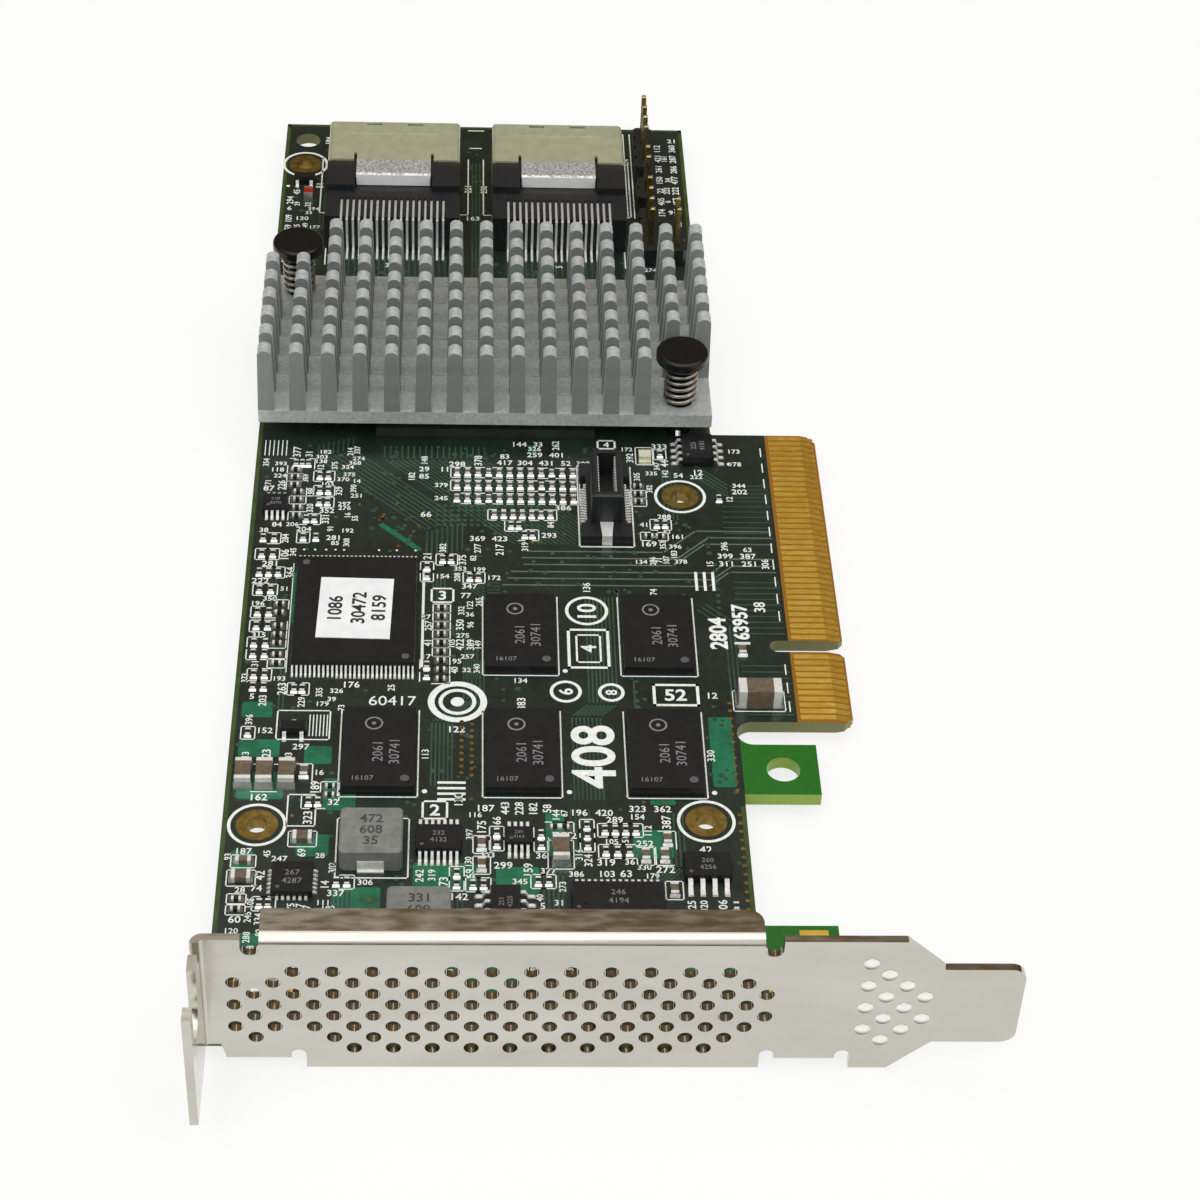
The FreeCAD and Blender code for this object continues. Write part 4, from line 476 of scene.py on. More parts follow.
@dataclass(frozen=True)
class SawnExtrusion(Finish):
    """Anodised extrusion with painted shade on its pins' faces that look along the card, and fine lines where
    saws cut across its fins.
    """

    line_mm: float = 0.55
    line_share: float = 0.45
    # painted shade: the darker grey of the pins' faces that look along the card
    sawn: str = "929794"
    sawn_z: float = 0.0

    def shade(self, tree: Tree, place: Socket) -> Socket:
        """Makes the extrusion's colour and paints shade on the faces of its pins that look along the card.

        Args:
            tree: the material's nodes.
            place: object coordinates.

        Returns:
            The colour output.
        """
        drawn = super().shade(tree, place)
        # Painted shade: the pins' faces that look along the card get a darker grey.
        on_pin = where(tree, place, ("Z", "GREATER_THAN", self.sawn_z))
        cut = facing(tree, "Y", 0.8)
        dull = add_node(tree, "ShaderNodeMath", links={0: cut, 1: on_pin}, operation="MULTIPLY").outputs[0]
        return add_node(
            tree, "ShaderNodeMix", {7: linear(self.sawn)}, {0: dull, 6: drawn}, data_type="RGBA"
        ).outputs[2]

    def relief(self, tree: Tree, place: Socket) -> Socket:
        """Adds the cut lines to the grain.

        Args:
            tree: the material's nodes.
            place: object coordinates.

        Returns:
            The height output.
        """
        grain = super().relief(tree, place)
        lines = add_node(
            tree,
            "ShaderNodeTexWave",
            {"Scale": per_mm(self.line_mm) / 20.0, "Distortion": 2.0, "Detail": 2.0},
            {"Vector": place},
            bands_direction="Z",
        ).outputs["Fac"]
        return add_node(
            tree, "ShaderNodeMix", {0: self.line_share}, {2: grain, 3: lines}, data_type="FLOAT"
        ).outputs[0]


# Green solder mask over copper and laminate: a wet gloss over a nearly black green.
SOLDER_MASK = "solder_mask"
# Mask over copper tracks: the same gloss, a clearer and brighter green.
MASKED_COPPER = Finish("mask_over_copper", "2B4636", "36543F", 0.30, ior=1.52, patch_mm=4.0, grain_mm=0.5,
                       grain_depth_mm=0.004)
# The same where it runs thin over the copper: a pale grey-green line.
PALE_TRACK = Finish("thin_mask_over_copper", "66756A", "55665A", 0.34, patch_mm=2.0, grain_mm=0.5,
                    grain_depth_mm=0.004)
# Mask over solid copper pours: brighter still, a little uneven.
MASKED_POUR = Finish("mask_over_pour", "1E7350", "185F43", 0.28, ior=1.52, patch_mm=2.0, grain_mm=0.6,
                     grain_depth_mm=0.004)
# Mask over bare laminate along the board's rim: a paler, yellower green.
CLEAR_RIM = Finish("clear_rim", "435427", "34461F", 0.35, ior=1.45, patch_mm=1.5, grain_mm=0.3)
# Screen-printed epoxy ink: flat white with slightly starved patches.
SILK_INK = Finish("silk_ink", "F4F6F0", "E2E6DD", 0.6, patch_mm=0.6, grain_mm=0.12, grain_depth_mm=0.006)
# Reflowed solder: bright, rounded and a little cloudy.
SOLDER = Finish("reflowed_solder", "E0E1DD", "C6C7C3", 0.36, metallic=1.0, patch_mm=0.5, grain_mm=0.25,
                grain_depth_mm=0.02)
# Laser mark on moulding compound: a pale dry grey.
LASER_MARK = Finish("laser_mark", "8B8B8D", "747476", 0.80, patch_mm=0.4, grain_mm=0.1)
# Gold darkened to a satin brown: painted dark reflection.
DARKENED_GOLD = Finish("dull_gold_ring", "A18547", "806A36", 0.45, metallic=1.0, patch_mm=0.7, grain_mm=0.2)
# Near-white tin sheet on the face of the turned-down tongue: a painted highlight.
HIGHLIGHT_TIN = Finish("burnished_tin", "FFFFFC", "F8F8F4", 0.5, metallic=0.1, patch_mm=1.2, grain_mm=0.2)
# Dark stamped ink on pressed powder.
STAMP_INK = Finish("powder_stamp", "3A3B3A", "4B4C4A", 0.7, patch_mm=0.4, grain_mm=0.1)
# Printer ink on paper.
PRINT_INK = Finish("label_print", "1B1B1D", "2A2A2C", 0.55, patch_mm=0.6, grain_mm=0.1)
# Mould marks in black package tops: smoother and paler than the moulding round them.
MOULD_MARK = Finish("mould_dimple", "5A595C", "4D4C4F", 0.5, patch_mm=0.5, grain_mm=0.2)


@dataclass
class FinishBook:
    """Holds one finish for every material slot of the record, and puts them on the frame's nodes."""

    nodes: Mapping[str, bpy.types.Object]
    slot_of: dict[str, str]
    finishes: dict[str, Finish] = field(default_factory=dict)

    @classmethod
    def from_frame(cls, frame: Mapping[str, Any], plan: CardPlan) -> FinishBook:
        """Opens the book for a loaded frame.

        Args:
            frame: what the frame's loader returned.
            plan: the card's drawing.

        Returns:
            A book with every slot filled in.

        Raises:
            ValueError: if a slot of the record has no finish.
        """
        slot_of = {part["node"]: part["material_slot"] for part in frame["record"]["subparts"]}
        tab_y = (plan.at(0.0, TAB_Y[0]).y, plan.at(0.0, TAB_Y[1]).y)
        finishes = (
            MaskedLaminate(SOLDER_MASK, "202C24", "172119", 0.30, swing=0.05, ior=1.52, patch_mm=5.0,
                           grain_mm=0.55, grain_depth_mm=0.003, side_x=plan.at(SIDE_X, 0.0).x,
                           finger_x=plan.at(FINGERS_X, 0.0).x, tab_y=tab_y, leg_y=plan.at(0.0, LEG_Y).y),
            # Hard gold over nickel: warm yellow, satin, with faint wiping marks along the fingers.
            Finish("gold_plate", "FFDB6A", "F4C856", 0.42, metallic=1.0, patch_mm=1.2, grain_mm=0.25,
                   draw=(0.3, 1.0, 1.0), grain_depth_mm=0.0015),
            # Nickel-plated sheet: a satin warm grey with soft rolling streaks along its length.
            EmbossedSheet("bracket_steel", "CDCAC0", "C2BFB4", 0.16, metallic=1.0, patch_mm=7.0, grain_mm=0.8,
                          draw=(0.3, 1.0, 1.0), grain_depth_mm=0.00015, crown_x=plan.at(BUMPS_X, 0.0).x,
                          crown_y=plan.at(0.0, BUMPS_Y).y),
            # Zinc-plated screws: bright, slightly bluish.
            Finish("screw_steel", "C4C6C8", "AEB0B2", 0.28, metallic=1.0, patch_mm=1.0),
            # Organic package under the heatsink: dark green-black, matte.
            Finish("processor_package", "20261F", "2A3129", 0.6),
            # Soft filled silicone: dry light grey.
            Finish("thermal_pad", "8D9196", "82868B", 0.85, patch_mm=1.5, grain_mm=0.2, grain_depth_mm=0.03),
            # Clear-anodised aluminium, sawn across: pale grey, grainy, half dull and half metal.
            SawnExtrusion("heatsink_aluminium", "CFD3D1", "BBBFBD", 0.5, swing=0.1, metallic=0.4,
                          patch_mm=0.5, grain_depth_mm=0.02, sawn_z=plan.at(0.0, 0.0, SAWN_Z).z),
            # Moulded black nylon: deep black with a soft shine.
            Finish("black_nylon", "08090B", "0D0E11", 0.32, ior=1.42, patch_mm=2.0, grain_depth_mm=0.003),
            # Drawn spring wire: bright grey-brown.
            Finish("spring_steel", "B9B4A8", "98938A", 0.3, metallic=1.0, patch_mm=0.8),
            # Matte tin over copper alloy: warm, cloudy grey-yellow.
            LappedShell("shell_tin", "C4C7A8", "BABD9D", 0.42, metallic=0.5, patch_mm=1.6,
                        grain_depth_mm=0.008, lap_y=plan.at(0.0, LAP_Y).y),
            # Glass-filled polymer: black, dry, with fibre speckle.
            Finish("connector_black", "121315", "1D1E20", 0.45, patch_mm=0.5, grain_mm=0.15),
            # Tinned copper alloy: bright, pale, cloudy.
            Finish("tinned_lead", "F8F8F4", "E8E8E3", 0.42, metallic=0.45, patch_mm=0.5),
            # Thin gold flash on square wire: pale brass.
            Finish("pin_gold", "B8A56F", "9C8A58", 0.3, metallic=1.0, patch_mm=0.8),
            # Moulding compound: charcoal, dry, finely pitted.
            Finish("chip_black", "131315", "19191B", 0.36, ior=1.42, patch_mm=1.8, grain_mm=0.16,
                   grain_depth_mm=0.012),
            # Coated paper: clean white, dry.
            Finish("label_paper", "F1F2F2", "E6E8E9", 0.7, patch_mm=2.0, grain_mm=0.1, grain_depth_mm=0.006),
            # Pressed iron powder: mid grey, sandy.
            Finish("ferrite_grey", "84857F", "747570", 0.7, patch_mm=0.9, grain_mm=0.2, grain_depth_mm=0.03),
            # Fired ceramic: warm brown, slightly glossy.
            Finish("ceramic_brown", "71624F", "5E5140", 0.4, patch_mm=0.6, grain_mm=0.2),
            # Overglazed thick film: black glass.
            Finish("resistor_black", "17181A", "202123", 0.3, patch_mm=0.5),
            # Clear resin on a white foot: milky.
            Finish("light_body", "DDD8BE", "C9C3A6", 0.25, patch_mm=0.5, coat=0.4),
            # Red tinted resin.
            Finish("fault_light_body", "B5281F", "93201A", 0.25, patch_mm=0.5, coat=0.4),
        )
        book = cls(frame["nodes"], slot_of, {finish.name: finish for finish in finishes})
        missing = sorted(set(slot_of.values()) - set(book.finishes))
        if missing:
            raise ValueError(f"no finish is written for {missing}")
        return book

    def dress(self, *names: str) -> int:
        """Puts each named node's finish on its material slots.

        Args:
            names: nodes of the frame.

        Returns:
            How many nodes were dressed.
        """
        for name in names:
            self.coat(name, self.finishes[self.slot_of[name]])
        return len(names)

    def coat(self, name: str, finish: Finish) -> None:
        """Puts a finish on one node, whatever its slot asks for."""
        for slot in self.nodes[name].material_slots:
            slot.material = finish.material()


# ---------------------------------------------------------------- places


@dataclass(frozen=True)
class CardPlan:
    """Turns places on the card's drawing, in millimetres, into points of the frame."""

    corner: Vector

    @classmethod
    def from_frame(cls) -> CardPlan:
        """Reads the drawing's corner from the board's box."""
        low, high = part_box("circuit_board")
        return cls(Vector((low.x, low.y, high.z)))

    def at(self, x: float, y: float, z: float = 0.0) -> Vector:
        """Gives the frame's point for a place on the drawing."""
        return self.corner + Vector((x, y, z)) * MM

    def back(self, point: Vector) -> Vector:
        """Gives the place on the drawing for a point of the frame."""
        return (point - self.corner) / MM

    def span(self, node: str) -> Lump:
        """Gives a node's box on the drawing."""
        low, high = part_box(node)
        return Lump(self.back(low), self.back(high))


@dataclass(frozen=True)
class Lump:
    """The box of one solid, in millimetres on the drawing."""

    low: Vector
    high: Vector

    @property
    def middle(self) -> Vector:
        """The box's middle."""
        return (self.low + self.high) / 2.0

    @property
    def size(self) -> Vector:
        """The box's edge lengths."""
        return self.high - self.low

    def grown(self, by: float) -> Lump:
        """The box with a margin round its footprint."""
        margin = Vector((by, by, 0.0))
        return Lump(self.low - margin, self.high + margin)

    def joined(self, other: Lump) -> Lump:
        """The box round this one and another."""
        return around((self.low, self.high, other.low, other.high))

    def meets(self, other: Lump) -> bool:
        """Whether two footprints overlap."""
        return all(self.low[i] < other.high[i] and other.low[i] < self.high[i] for i in (0, 1))


def around(points: Sequence[Vector]) -> Lump:
    """Gives the box round some points."""
    low, high = (Vector(pick(point[i] for point in points) for i in range(3)) for pick in (min, max))
    return Lump(low, high)


def area(x0: float, y0: float, x1: float, y1: float) -> Lump:
    """Gives the flat footprint between two corners."""
    return around((Vector((x0, y0, 0.0)), Vector((x1, y1, 0.0))))


def square(x: float, y: float, reach: float) -> Lump:
    """Gives the flat square that reaches equally far round a place."""
    return area(x - reach, y - reach, x + reach, y + reach)


def lumps(plan: CardPlan, mesh: bpy.types.Mesh) -> list[Lump]:
    """Splits a node of many loose solids into the boxes of its solids.

    Args:
        plan: the card's drawing.
        mesh: the node's mesh of loose triangles.

    Returns:
        One box a solid, in reading order.
    """
    keys = [tuple(round(c * 1e6) for c in v.co) for v in mesh.vertices]
    parent = {key: key for key in keys}

    def root(key: tuple[int, ...]) -> tuple[int, ...]:
        """Finds the key that stands for a group, shortening the way there.

        Args:
            key: a rounded point of the group.

        Returns:
            The group's own key.
        """
        while parent[key] != key:
            parent[key] = parent[parent[key]]
            key = parent[key]
        return key

    for face in mesh.polygons:
        first = root(keys[face.vertices[0]])
        for index in face.vertices[1:]:
            parent[root(keys[index])] = first
    groups: dict[tuple[int, ...], list[Vector]] = defaultdict(list)
    for key, vertex in zip(keys, mesh.vertices):
        groups[root(key)].append(plan.back(vertex.co))
    found = [around(points) for points in groups.values()]
    return sorted(found, key=lambda lump: (round(lump.low.y, 2), round(lump.low.x, 2)))


@dataclass
class Crowd:
    """Keeps the footprints that print and tracks stay off."""

    taken: list[Lump] = field(default_factory=list)

    def free(self, lump: Lump) -> bool:
        """Whether a footprint meets nothing that is taken."""
        return not any(lump.meets(other) for other in self.taken)

    def take(self, *lumps_taken: Lump) -> None:
        """Marks footprints as taken."""
        self.taken.extend(lumps_taken)


# ---------------------------------------------------------------- thin layers


class Layer:
    """A thin layer of ink, copper, solder or mark, laid on the card as many small shapes."""

    DIGIT_EMS = 0.70  # height of a digit, in ems
    FINE_DIGIT = 1.3  # digits below this height need fewer points on their curves
    _letters: bpy.types.Object | None = None

    def __init__(self, plan: CardPlan, lift: float, thickness: float, under: bool = False) -> None:
        """Starts an empty layer.

        Args:
            plan: the card's drawing.
            lift: the height of its inner face off the board, in millimetres.
            thickness: its own thickness, in millimetres.
            under: whether it lies on the solder side.
        """
        self.plan = plan
        self.lift = lift
        self.thickness = thickness
        self.under = under
        self.mesh = bmesh.new()

    def _turned(
        self, x: float, y: float, size: Sequence[float], turn: float = 0.0, lift: float | None = None
    ) -> Matrix:
        """Gives the matrix that scales a unit shape, turns it and puts it in its place.

        Args:
            x: middle across the card.
            y: middle along the card.
            size: its width and length, in millimetres.
            turn: degrees anticlockwise.
            lift: the height of its inner face, where it isn't the layer's own.

        Returns:
            The matrix.
        """
        base = (self.lift if lift is None else lift) + self.thickness
        scale = Matrix.Diagonal((size[0] * MM, size[1] * MM, MM, 1.0))
        turned = Matrix.Rotation(math.radians(turn), 4, "Z") @ scale
        if self.under:
            face = self.plan.at(x, y, self.plan.span("circuit_board").low.z - base)
            return Matrix.Translation(face) @ Matrix.Rotation(math.pi, 4, "Y") @ turned
        return Matrix.Translation(self.plan.at(x, y, base)) @ turned

    def _slab(self, matrix: Matrix) -> None:
        """Adds one flat rectangle."""
        bmesh.ops.create_grid(self.mesh, x_segments=1, y_segments=1, size=0.5, matrix=matrix)

    def block(self, x0: float, y0: float, x1: float, y1: float) -> None:
        """Adds a filled rectangle between two corners."""
        self._slab(self._turned((x0 + x1) / 2, (y0 + y1) / 2, (abs(x1 - x0), abs(y1 - y0))))

    def bar(self, start: Spot, end: Spot, width: float) -> None:
        """Adds a straight line with square ends, half a width past its points.

        Args:
            start: where it starts.
            end: where it ends.
            width: its width in millimetres.
        """
        run = Vector(end) - Vector(start)
        middle = (Vector(end) + Vector(start)) / 2
        turn = math.degrees(math.atan2(run.y, run.x))
        self._slab(self._turned(middle.x, middle.y, (run.length + width, width), turn))

    def path(self, spots: Sequence[Spot], width: float) -> None:
        """Adds a line through several points."""
        for start, end in zip(spots, spots[1:]):
            self.bar(start, end, width)

    def bars(self, rows: Iterable[tuple[float, ...]]) -> None:
        """Adds rows of equal lines.

        Args:
            rows: for each row its first line's x0, y0, x1, y1 and width, then, where it has more than
                one line, how many, and the shift from one to the next across and along the card.
        """
        for x0, y0, x1, y1, width, *more in rows:
            count, dx, dy = more or (1, 0.0, 0.0)
            for index in range(int(count)):
                right, up = dx * index, dy * index
                self.bar((x0 + right, y0 + up), (x1 + right, y1 + up), width)

    def outline(self, x0: float, y0: float, x1: float, y1: float, width: float) -> None:
        """Adds the four lines of a rectangle."""
        self.path(((x0, y0), (x1, y0), (x1, y1), (x0, y1), (x0, y0)), width)

    def dot(self, x: float, y: float, across: float, lift: float | None = None, sides: int = 14) -> None:
        """Adds a filled round."""
        matrix = self._turned(x, y, (across, across), lift=lift)
        bmesh.ops.create_circle(self.mesh, cap_ends=True, radius=0.5, segments=sides, matrix=matrix)

    def ring(
        self, x: float, y: float, across: float, width: float, lift: float | None = None, sides: int = 40
    ) -> None:
        """Adds a ring.

        Args:
            x: middle across the card.
            y: middle along the card.
            across: its outer diameter.
            width: the width of its line.
            lift: the height of its inner face, where it isn't the layer's own.
            sides: how many straight sides it has.
        """
        edges: list[bmesh.types.BMEdge] = []
        for size in (across, across - 2 * width):
            matrix = self._turned(x, y, (size, size), lift=lift)
            made = bmesh.ops.create_circle(
                self.mesh, cap_ends=False, radius=0.5, segments=sides, matrix=matrix
            )
            edges += list({edge for vert in made["verts"] for edge in vert.link_edges})
        bmesh.ops.bridge_loops(self.mesh, edges=edges)

    def number(self, text: str, x: float, y: float, height: float, turn: float = 0.0,
               lift: float | None = None, bold: float = 0.0) -> None:
        """Adds plain digits, centred on a place.

        Args:
            text: the digits.
            x: middle across the card.
            y: middle along the card.
            height: the digits' height in millimetres.
            turn: degrees anticlockwise.
            lift: the height of their inner face, where it isn't the layer's own.
            bold: how much each stroke is widened, in ems.
        """
        if Layer._letters is None:
            Layer._letters = bpy.data.objects.new("digits", bpy.data.curves.new("digits", "FONT"))
        curve = Layer._letters.data
        curve.body = text
        curve.resolution_u = 2 if height < self.FINE_DIGIT else 5
        curve.offset = bold
        flat = bpy.data.meshes.new_from_object(Layer._letters)
        em = height / self.DIGIT_EMS
        middle = around([vertex.co for vertex in flat.vertices]).middle
        flat.transform(self._turned(x, y, (em, em), turn, lift) @ Matrix.Translation(-middle))
        self.mesh.from_mesh(flat)
        bpy.data.meshes.remove(flat)

    def piece(self, name: str, finish: Finish, slot: str | None = None) -> bpy.types.Object:
        """Gives every shape its thickness and makes the layer one piece of the card.

        Args:
            name: the piece's name.
            finish: what it is finished in.
            slot: not used.

        Returns:
            The finished piece.
        """
        for face in self.mesh.faces:
            if (face.normal.z < 0.0) is not self.under:
                face.normal_flip()
        bmesh.ops.solidify(self.mesh, geom=self.mesh.faces[:], thickness=self.thickness * MM)
        bmesh.ops.recalc_face_normals(self.mesh, faces=self.mesh.faces[:])
        return settle(self.mesh, name, finish)


def settle(
    shape: bmesh.types.BMesh, name: str, finish: Finish
) -> bpy.types.Object:
    """Turns a finished shape into a piece that rides on the card.

    Args:
        shape: the geometry, already in its place. It is freed.
        name: the piece's name.
        finish: what it is finished in.

    Returns:
        The new piece.
    """
    mesh = bpy.data.meshes.new(name)
    for face in shape.faces:
        face.smooth = False
    shape.to_mesh(mesh)
    shape.free()
    mesh.materials.append(finish.material())
    piece = bpy.data.objects.new(name, mesh)
    bpy.context.scene.collection.objects.link(piece)
    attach(piece, "root")
    return piece


# ---------------------------------------------------------------- the card's sub-assemblies


class Finding(Enum):
    """Which way a row of print reads on the card."""

    ACROSS = 0.0
    ALONG = 90.0


@dataclass
class Assembly:
    """A group of pieces that are laid out and finished together."""

    plan: CardPlan
    book: FinishBook

    def solids(self, *nodes: str) -> list[Lump]:
        """Gives the boxes of all the solids of some nodes."""
        return [lump for node in nodes for lump in lumps(self.plan, self.book.nodes[node].data)]


@dataclass
class Passives(Assembly):
    """Chip capacitors and resistors: their bodies, end caps, solder and the print round them."""

    crowd: Crowd
    pad_margin: float = 0.12
    fillet_run: float = 0.28
    fillet_rise: float = 0.6  # share of the cap's height
    fillet_fall: float = 0.82  # share of the fillet's height that is lost at its toe
    print_gap: float = 0.22
    print_width: float = 0.13
    print_clearance: float = 0.05
    unframed: float = 0.1  # share of chips without a printed frame
    seed: int = 11

    def chips(self) -> list[tuple[Lump, list[Lump]]]:
        """Pairs every chip's body with its two end caps.

        Returns:
            The bodies, each with its caps.
        """
        pairs: list[tuple[Lump, list[Lump]]] = []
        for kind in ("chip_capacitor", "chip_resistor"):
            caps = self.solids(f"{kind}_ends")
            for body in self.solids(f"{kind}s"):
                near = sorted(caps, key=lambda cap: (cap.middle - body.middle).length)[:2]
                pairs.append((body, near))
        return pairs

    def fillet(self, shape: bmesh.types.BMesh, cap: Lump, out: Vector) -> None:
        """Adds the sloped solder at one end cap.

        Args:
            shape: the geometry that gets it.
            cap: the end cap.
            out: the way from the chip's middle to the cap's.
        """
        if abs(out.x) > abs(out.y):
            along = Vector((math.copysign(1.0, out.x), 0, 0))
        else:
            along = Vector((0, math.copysign(1.0, out.y), 0))
        side = Vector((-along.y, along.x, 0.0))
        depth = abs(cap.size.dot(along))
        width = abs(cap.size.dot(side))
        rise = cap.size.z * self.fillet_rise
        foot = self.plan.at(cap.middle.x, cap.middle.y) + along * (depth / 2 + self.fillet_run / 2) * MM
        turn = Matrix((along, side, Vector((0, 0, 1)))).transposed().to_4x4()
        scale = Matrix.Diagonal((self.fillet_run * MM, (width + 2 * self.pad_margin) * MM, rise * MM, 1.0))
        matrix = Matrix.Translation(foot + Vector((0, 0, rise / 2 * MM))) @ turn @ scale
        made = bmesh.ops.create_cube(shape, size=1.0, matrix=matrix)
        toe = [v for v in made["verts"] if (v.co - foot).dot(along) > 0 and v.co.z > foot.z + rise / 2 * MM]
        bmesh.ops.translate(shape, verts=toe, vec=Vector((0, 0, -rise * self.fillet_fall * MM)))

    def build(self, silk: Layer) -> int:
        """Builds the solder and prints a frame round most chips.

        Args:
            silk: the print layer.

        Returns:
            How many chips there are.
        """
        dice = random.Random(self.seed)
        pairs = self.chips()
        shape = bmesh.new()
        for body, caps in pairs:
            for cap in caps:
                self.fillet(shape, cap, cap.middle - body.middle)
        settle(shape, "chip_solder", SOLDER)
        boxes = [body.joined(caps[0]).joined(caps[1]).grown(self.fillet_run) for body, caps in pairs]
        self.crowd.take(*boxes)
        for box in boxes:
            if dice.random() < self.unframed:
                continue
            rim = box.grown(self.print_gap)
            (left, low, _), (right, high, _) = rim.low, rim.high
            sides = ((left, low, right, low), (left, high, right, high), (left, low, left, high),
                     (right, low, right, high))
            for side in sides:
                line = area(*side).grown(self.print_clearance)
                if not any(line.meets(other) for other in boxes):
                    silk.bars(((*side, self.print_width),))
        self.book.dress("chip_capacitors", "chip_capacitor_ends", "chip_resistors", "chip_resistor_ends")
        return len(pairs)


@dataclass
class Chips(Assembly):
    """Moulded packages: memory, controllers and small logic, with their marks and pads."""

    crowd: Crowd
    memory: tuple[str, ...] = tuple(f"memory_chip_{i}" for i in range(1, 6))
    small: tuple[str, ...] = (
        "temperature_sensor", "identity_chip", "level_shifter", "supervisor_chip", "clock_buffer",
        "serial_memory", "power_switch", "power_controller",
    )
    mark_thickness: float = 0.012
    memory_rows: tuple[tuple[str, float, float, float, Finding], ...] = (
        ("16107", -1.6, -4.9, 0.7, Finding.ACROSS), ("2061", -0.1, -0.9, 1.15, Finding.ALONG),
        ("30741", 1.7, -0.9, 1.15, Finding.ALONG),
    )
    badge: Spot = (-0.6, 3.6)  # ring on a memory chip, from its middle
    pin_one: Spot = (2.9, -4.9)  # moulded dimple on a memory chip, from its middle
    slender: float = 1.15  # longer packages than this read along the card
    digit_share: float = 0.17  # height of a small chip's digits over its narrow side
    digit_shift: float = 0.8  # shift of its two rows over that height
    inductor_rows: tuple[tuple[str, tuple[str, ...]], ...] = (
        ("output_inductor", ("472", "608", "35")), ("input_inductor", ("331", "609", "27")),
    )
    inductor_pitch: float = 1.6
    pad_thickness: float = 0.05
    pad_length: float = 0.75
    pad_reach: float = 0.18  # pad beyond the lead's end
    pad_margin: float = 0.04  # pad beside the lead

    def memory_marks(self, ink: Layer, dimples: Layer) -> None:
        """Marks the memory chips.

        Args:
            ink: the layer of numbers and rings.
            dimples: the layer of moulded dimples.
        """
        for name in self.memory:
            box = self.plan.span(name)
            top, middle = box.high.z, box.middle
            for text, dx, dy, height, finding in self.memory_rows:
                ink.number(text, middle.x + dx, middle.y + dy, height, finding.value, lift=top)
            x, y = middle.x + self.badge[0], middle.y + self.badge[1]
            ink.ring(x, y, 2.0, 0.2, lift=top)
            ink.dot(x, y, 0.5, lift=top)
            dimples.dot(middle.x + self.pin_one[0], middle.y + self.pin_one[1], 1.0, lift=top, sides=20)

    def small_marks(self, ink: Layer, dimples: Layer) -> None:
        """Marks the small chips with two rows of digits and a dimple at pin one.

        Args:
            ink: the layer of numbers and rings.
            dimples: the layer of moulded dimples.
        """
        for index, name in enumerate(self.small):
            box = self.plan.span(name)
            size, middle, top = box.size, box.middle, box.high.z
            turn = Finding.ALONG.value if size.y > size.x * self.slender else Finding.ACROSS.value
            height = min(size.x, size.y) * self.digit_share
            shift = height * self.digit_shift
            for row, number in ((-1, 4070 + 31 * index), (1, 218 + 7 * index)):
                dx, dy = (-row * shift, 0.0) if turn else (0.0, row * shift)
                ink.number(str(number), middle.x + dx, middle.y + dy, height, turn, lift=top)
            dimples.dot(box.low.x + 0.7, box.low.y + 0.7, 0.45, lift=top)

    def marks(self) -> None:
        """Prints plain numbers and a pin-one mark on every package."""
        ink, dimples, stamps = (Layer(self.plan, 0.0, self.mark_thickness) for _ in range(3))
        self.memory_marks(ink, dimples)
        self.small_marks(ink, dimples)
        flash = self.plan.span("flash_chip")
        dimples.dot(flash.low.x + 1.1, flash.high.y - 1.1, 0.9, lift=flash.high.z)
        dimples.dot(flash.high.x - 1.1, flash.low.y + 1.1, 0.9, lift=flash.high.z)
        for name, rows in self.inductor_rows:
            box = self.plan.span(name)
            for row, number in enumerate(rows):
                y = box.middle.y + self.inductor_pitch * (1 - row)
                stamps.number(number, box.middle.x, y, 1.15, lift=box.high.z, bold=0.02)
        stamps.piece("inductor_marks", STAMP_INK)
        ink.piece("package_marks", LASER_MARK)
        dimples.piece("package_dimples", MOULD_MARK, "chip_black")

    def lead_pads(self) -> None:
        """Lays a solder pad under the foot of every lead."""
        pads = Layer(self.plan, 0.0, self.pad_thickness)
        owners = [self.plan.span(name) for name in (*self.small, "flash_chip")]
        owners += self.solids("transistors")
        for foot in self.solids("small_chip_leads", "flash_chip_leads"):
            owner = min(owners, key=lambda box: (box.middle - foot.middle).length)
            out = foot.middle - owner.middle
            axis = 0 if abs(out.x) / owner.size.x > abs(out.y) / owner.size.y else 1
            edge = foot.high[axis] if out[axis] > 0 else foot.low[axis]
            ends = (edge - math.copysign(self.pad_length, out[axis]),
                    edge + math.copysign(self.pad_reach, out[axis]))
            sides = (foot.low[1 - axis] - self.pad_margin, foot.high[1 - axis] + self.pad_margin)
            (x0, x1), (y0, y1) = (ends, sides) if axis == 0 else (sides, ends)
            pads.block(x0, y0, x1, y1)
        pads.piece("lead_pads", SOLDER, "tinned_lead")

    def build(self) -> int:
        """Builds the marks and pads and dresses the packages.

        Returns:
            How many packages there are.
        """
        self.marks()
        self.lead_pads()
        for name in (*self.memory, *self.small, "flash_chip_leads", "output_inductor", "input_inductor"):
            self.crowd.take(self.plan.span(name).grown(0.3))
        self.crowd.take(*(lump.grown(0.15) for lump in self.solids("small_chip_leads", "transistors")))
        return self.book.dress(
            *self.memory, *self.small, "flash_chip", "flash_chip_leads", "small_chip_leads", "output_inductor",
            "input_inductor", "inductor_terminals", "transistors", "raid_processor", "thermal_pad",
        )


@dataclass
class FlashLabel(Assembly):
    """The paper label on the flash chip, with plain numbers."""

    rows: tuple[tuple[str, float], ...] = (("1086", -2.3), ("30472", 0.4), ("8159", 2.7))
    height: float = 1.55
    lean: float = -1.5

    def build(self) -> int:
        """Prints the numbers along the label and dresses it.

        Returns:
            How many nodes were dressed.
        """
        box = self.plan.span("flash_chip_label")
        ink = Layer(self.plan, box.high.z, 0.012)
        turn = Finding.ALONG.value + self.lean
        for text, across in self.rows:
            ink.number(text, box.middle.x + across, box.middle.y, self.height, turn, bold=0.02)
        ink.piece("label_numbers", PRINT_INK)
        return self.book.dress("flash_chip_label")


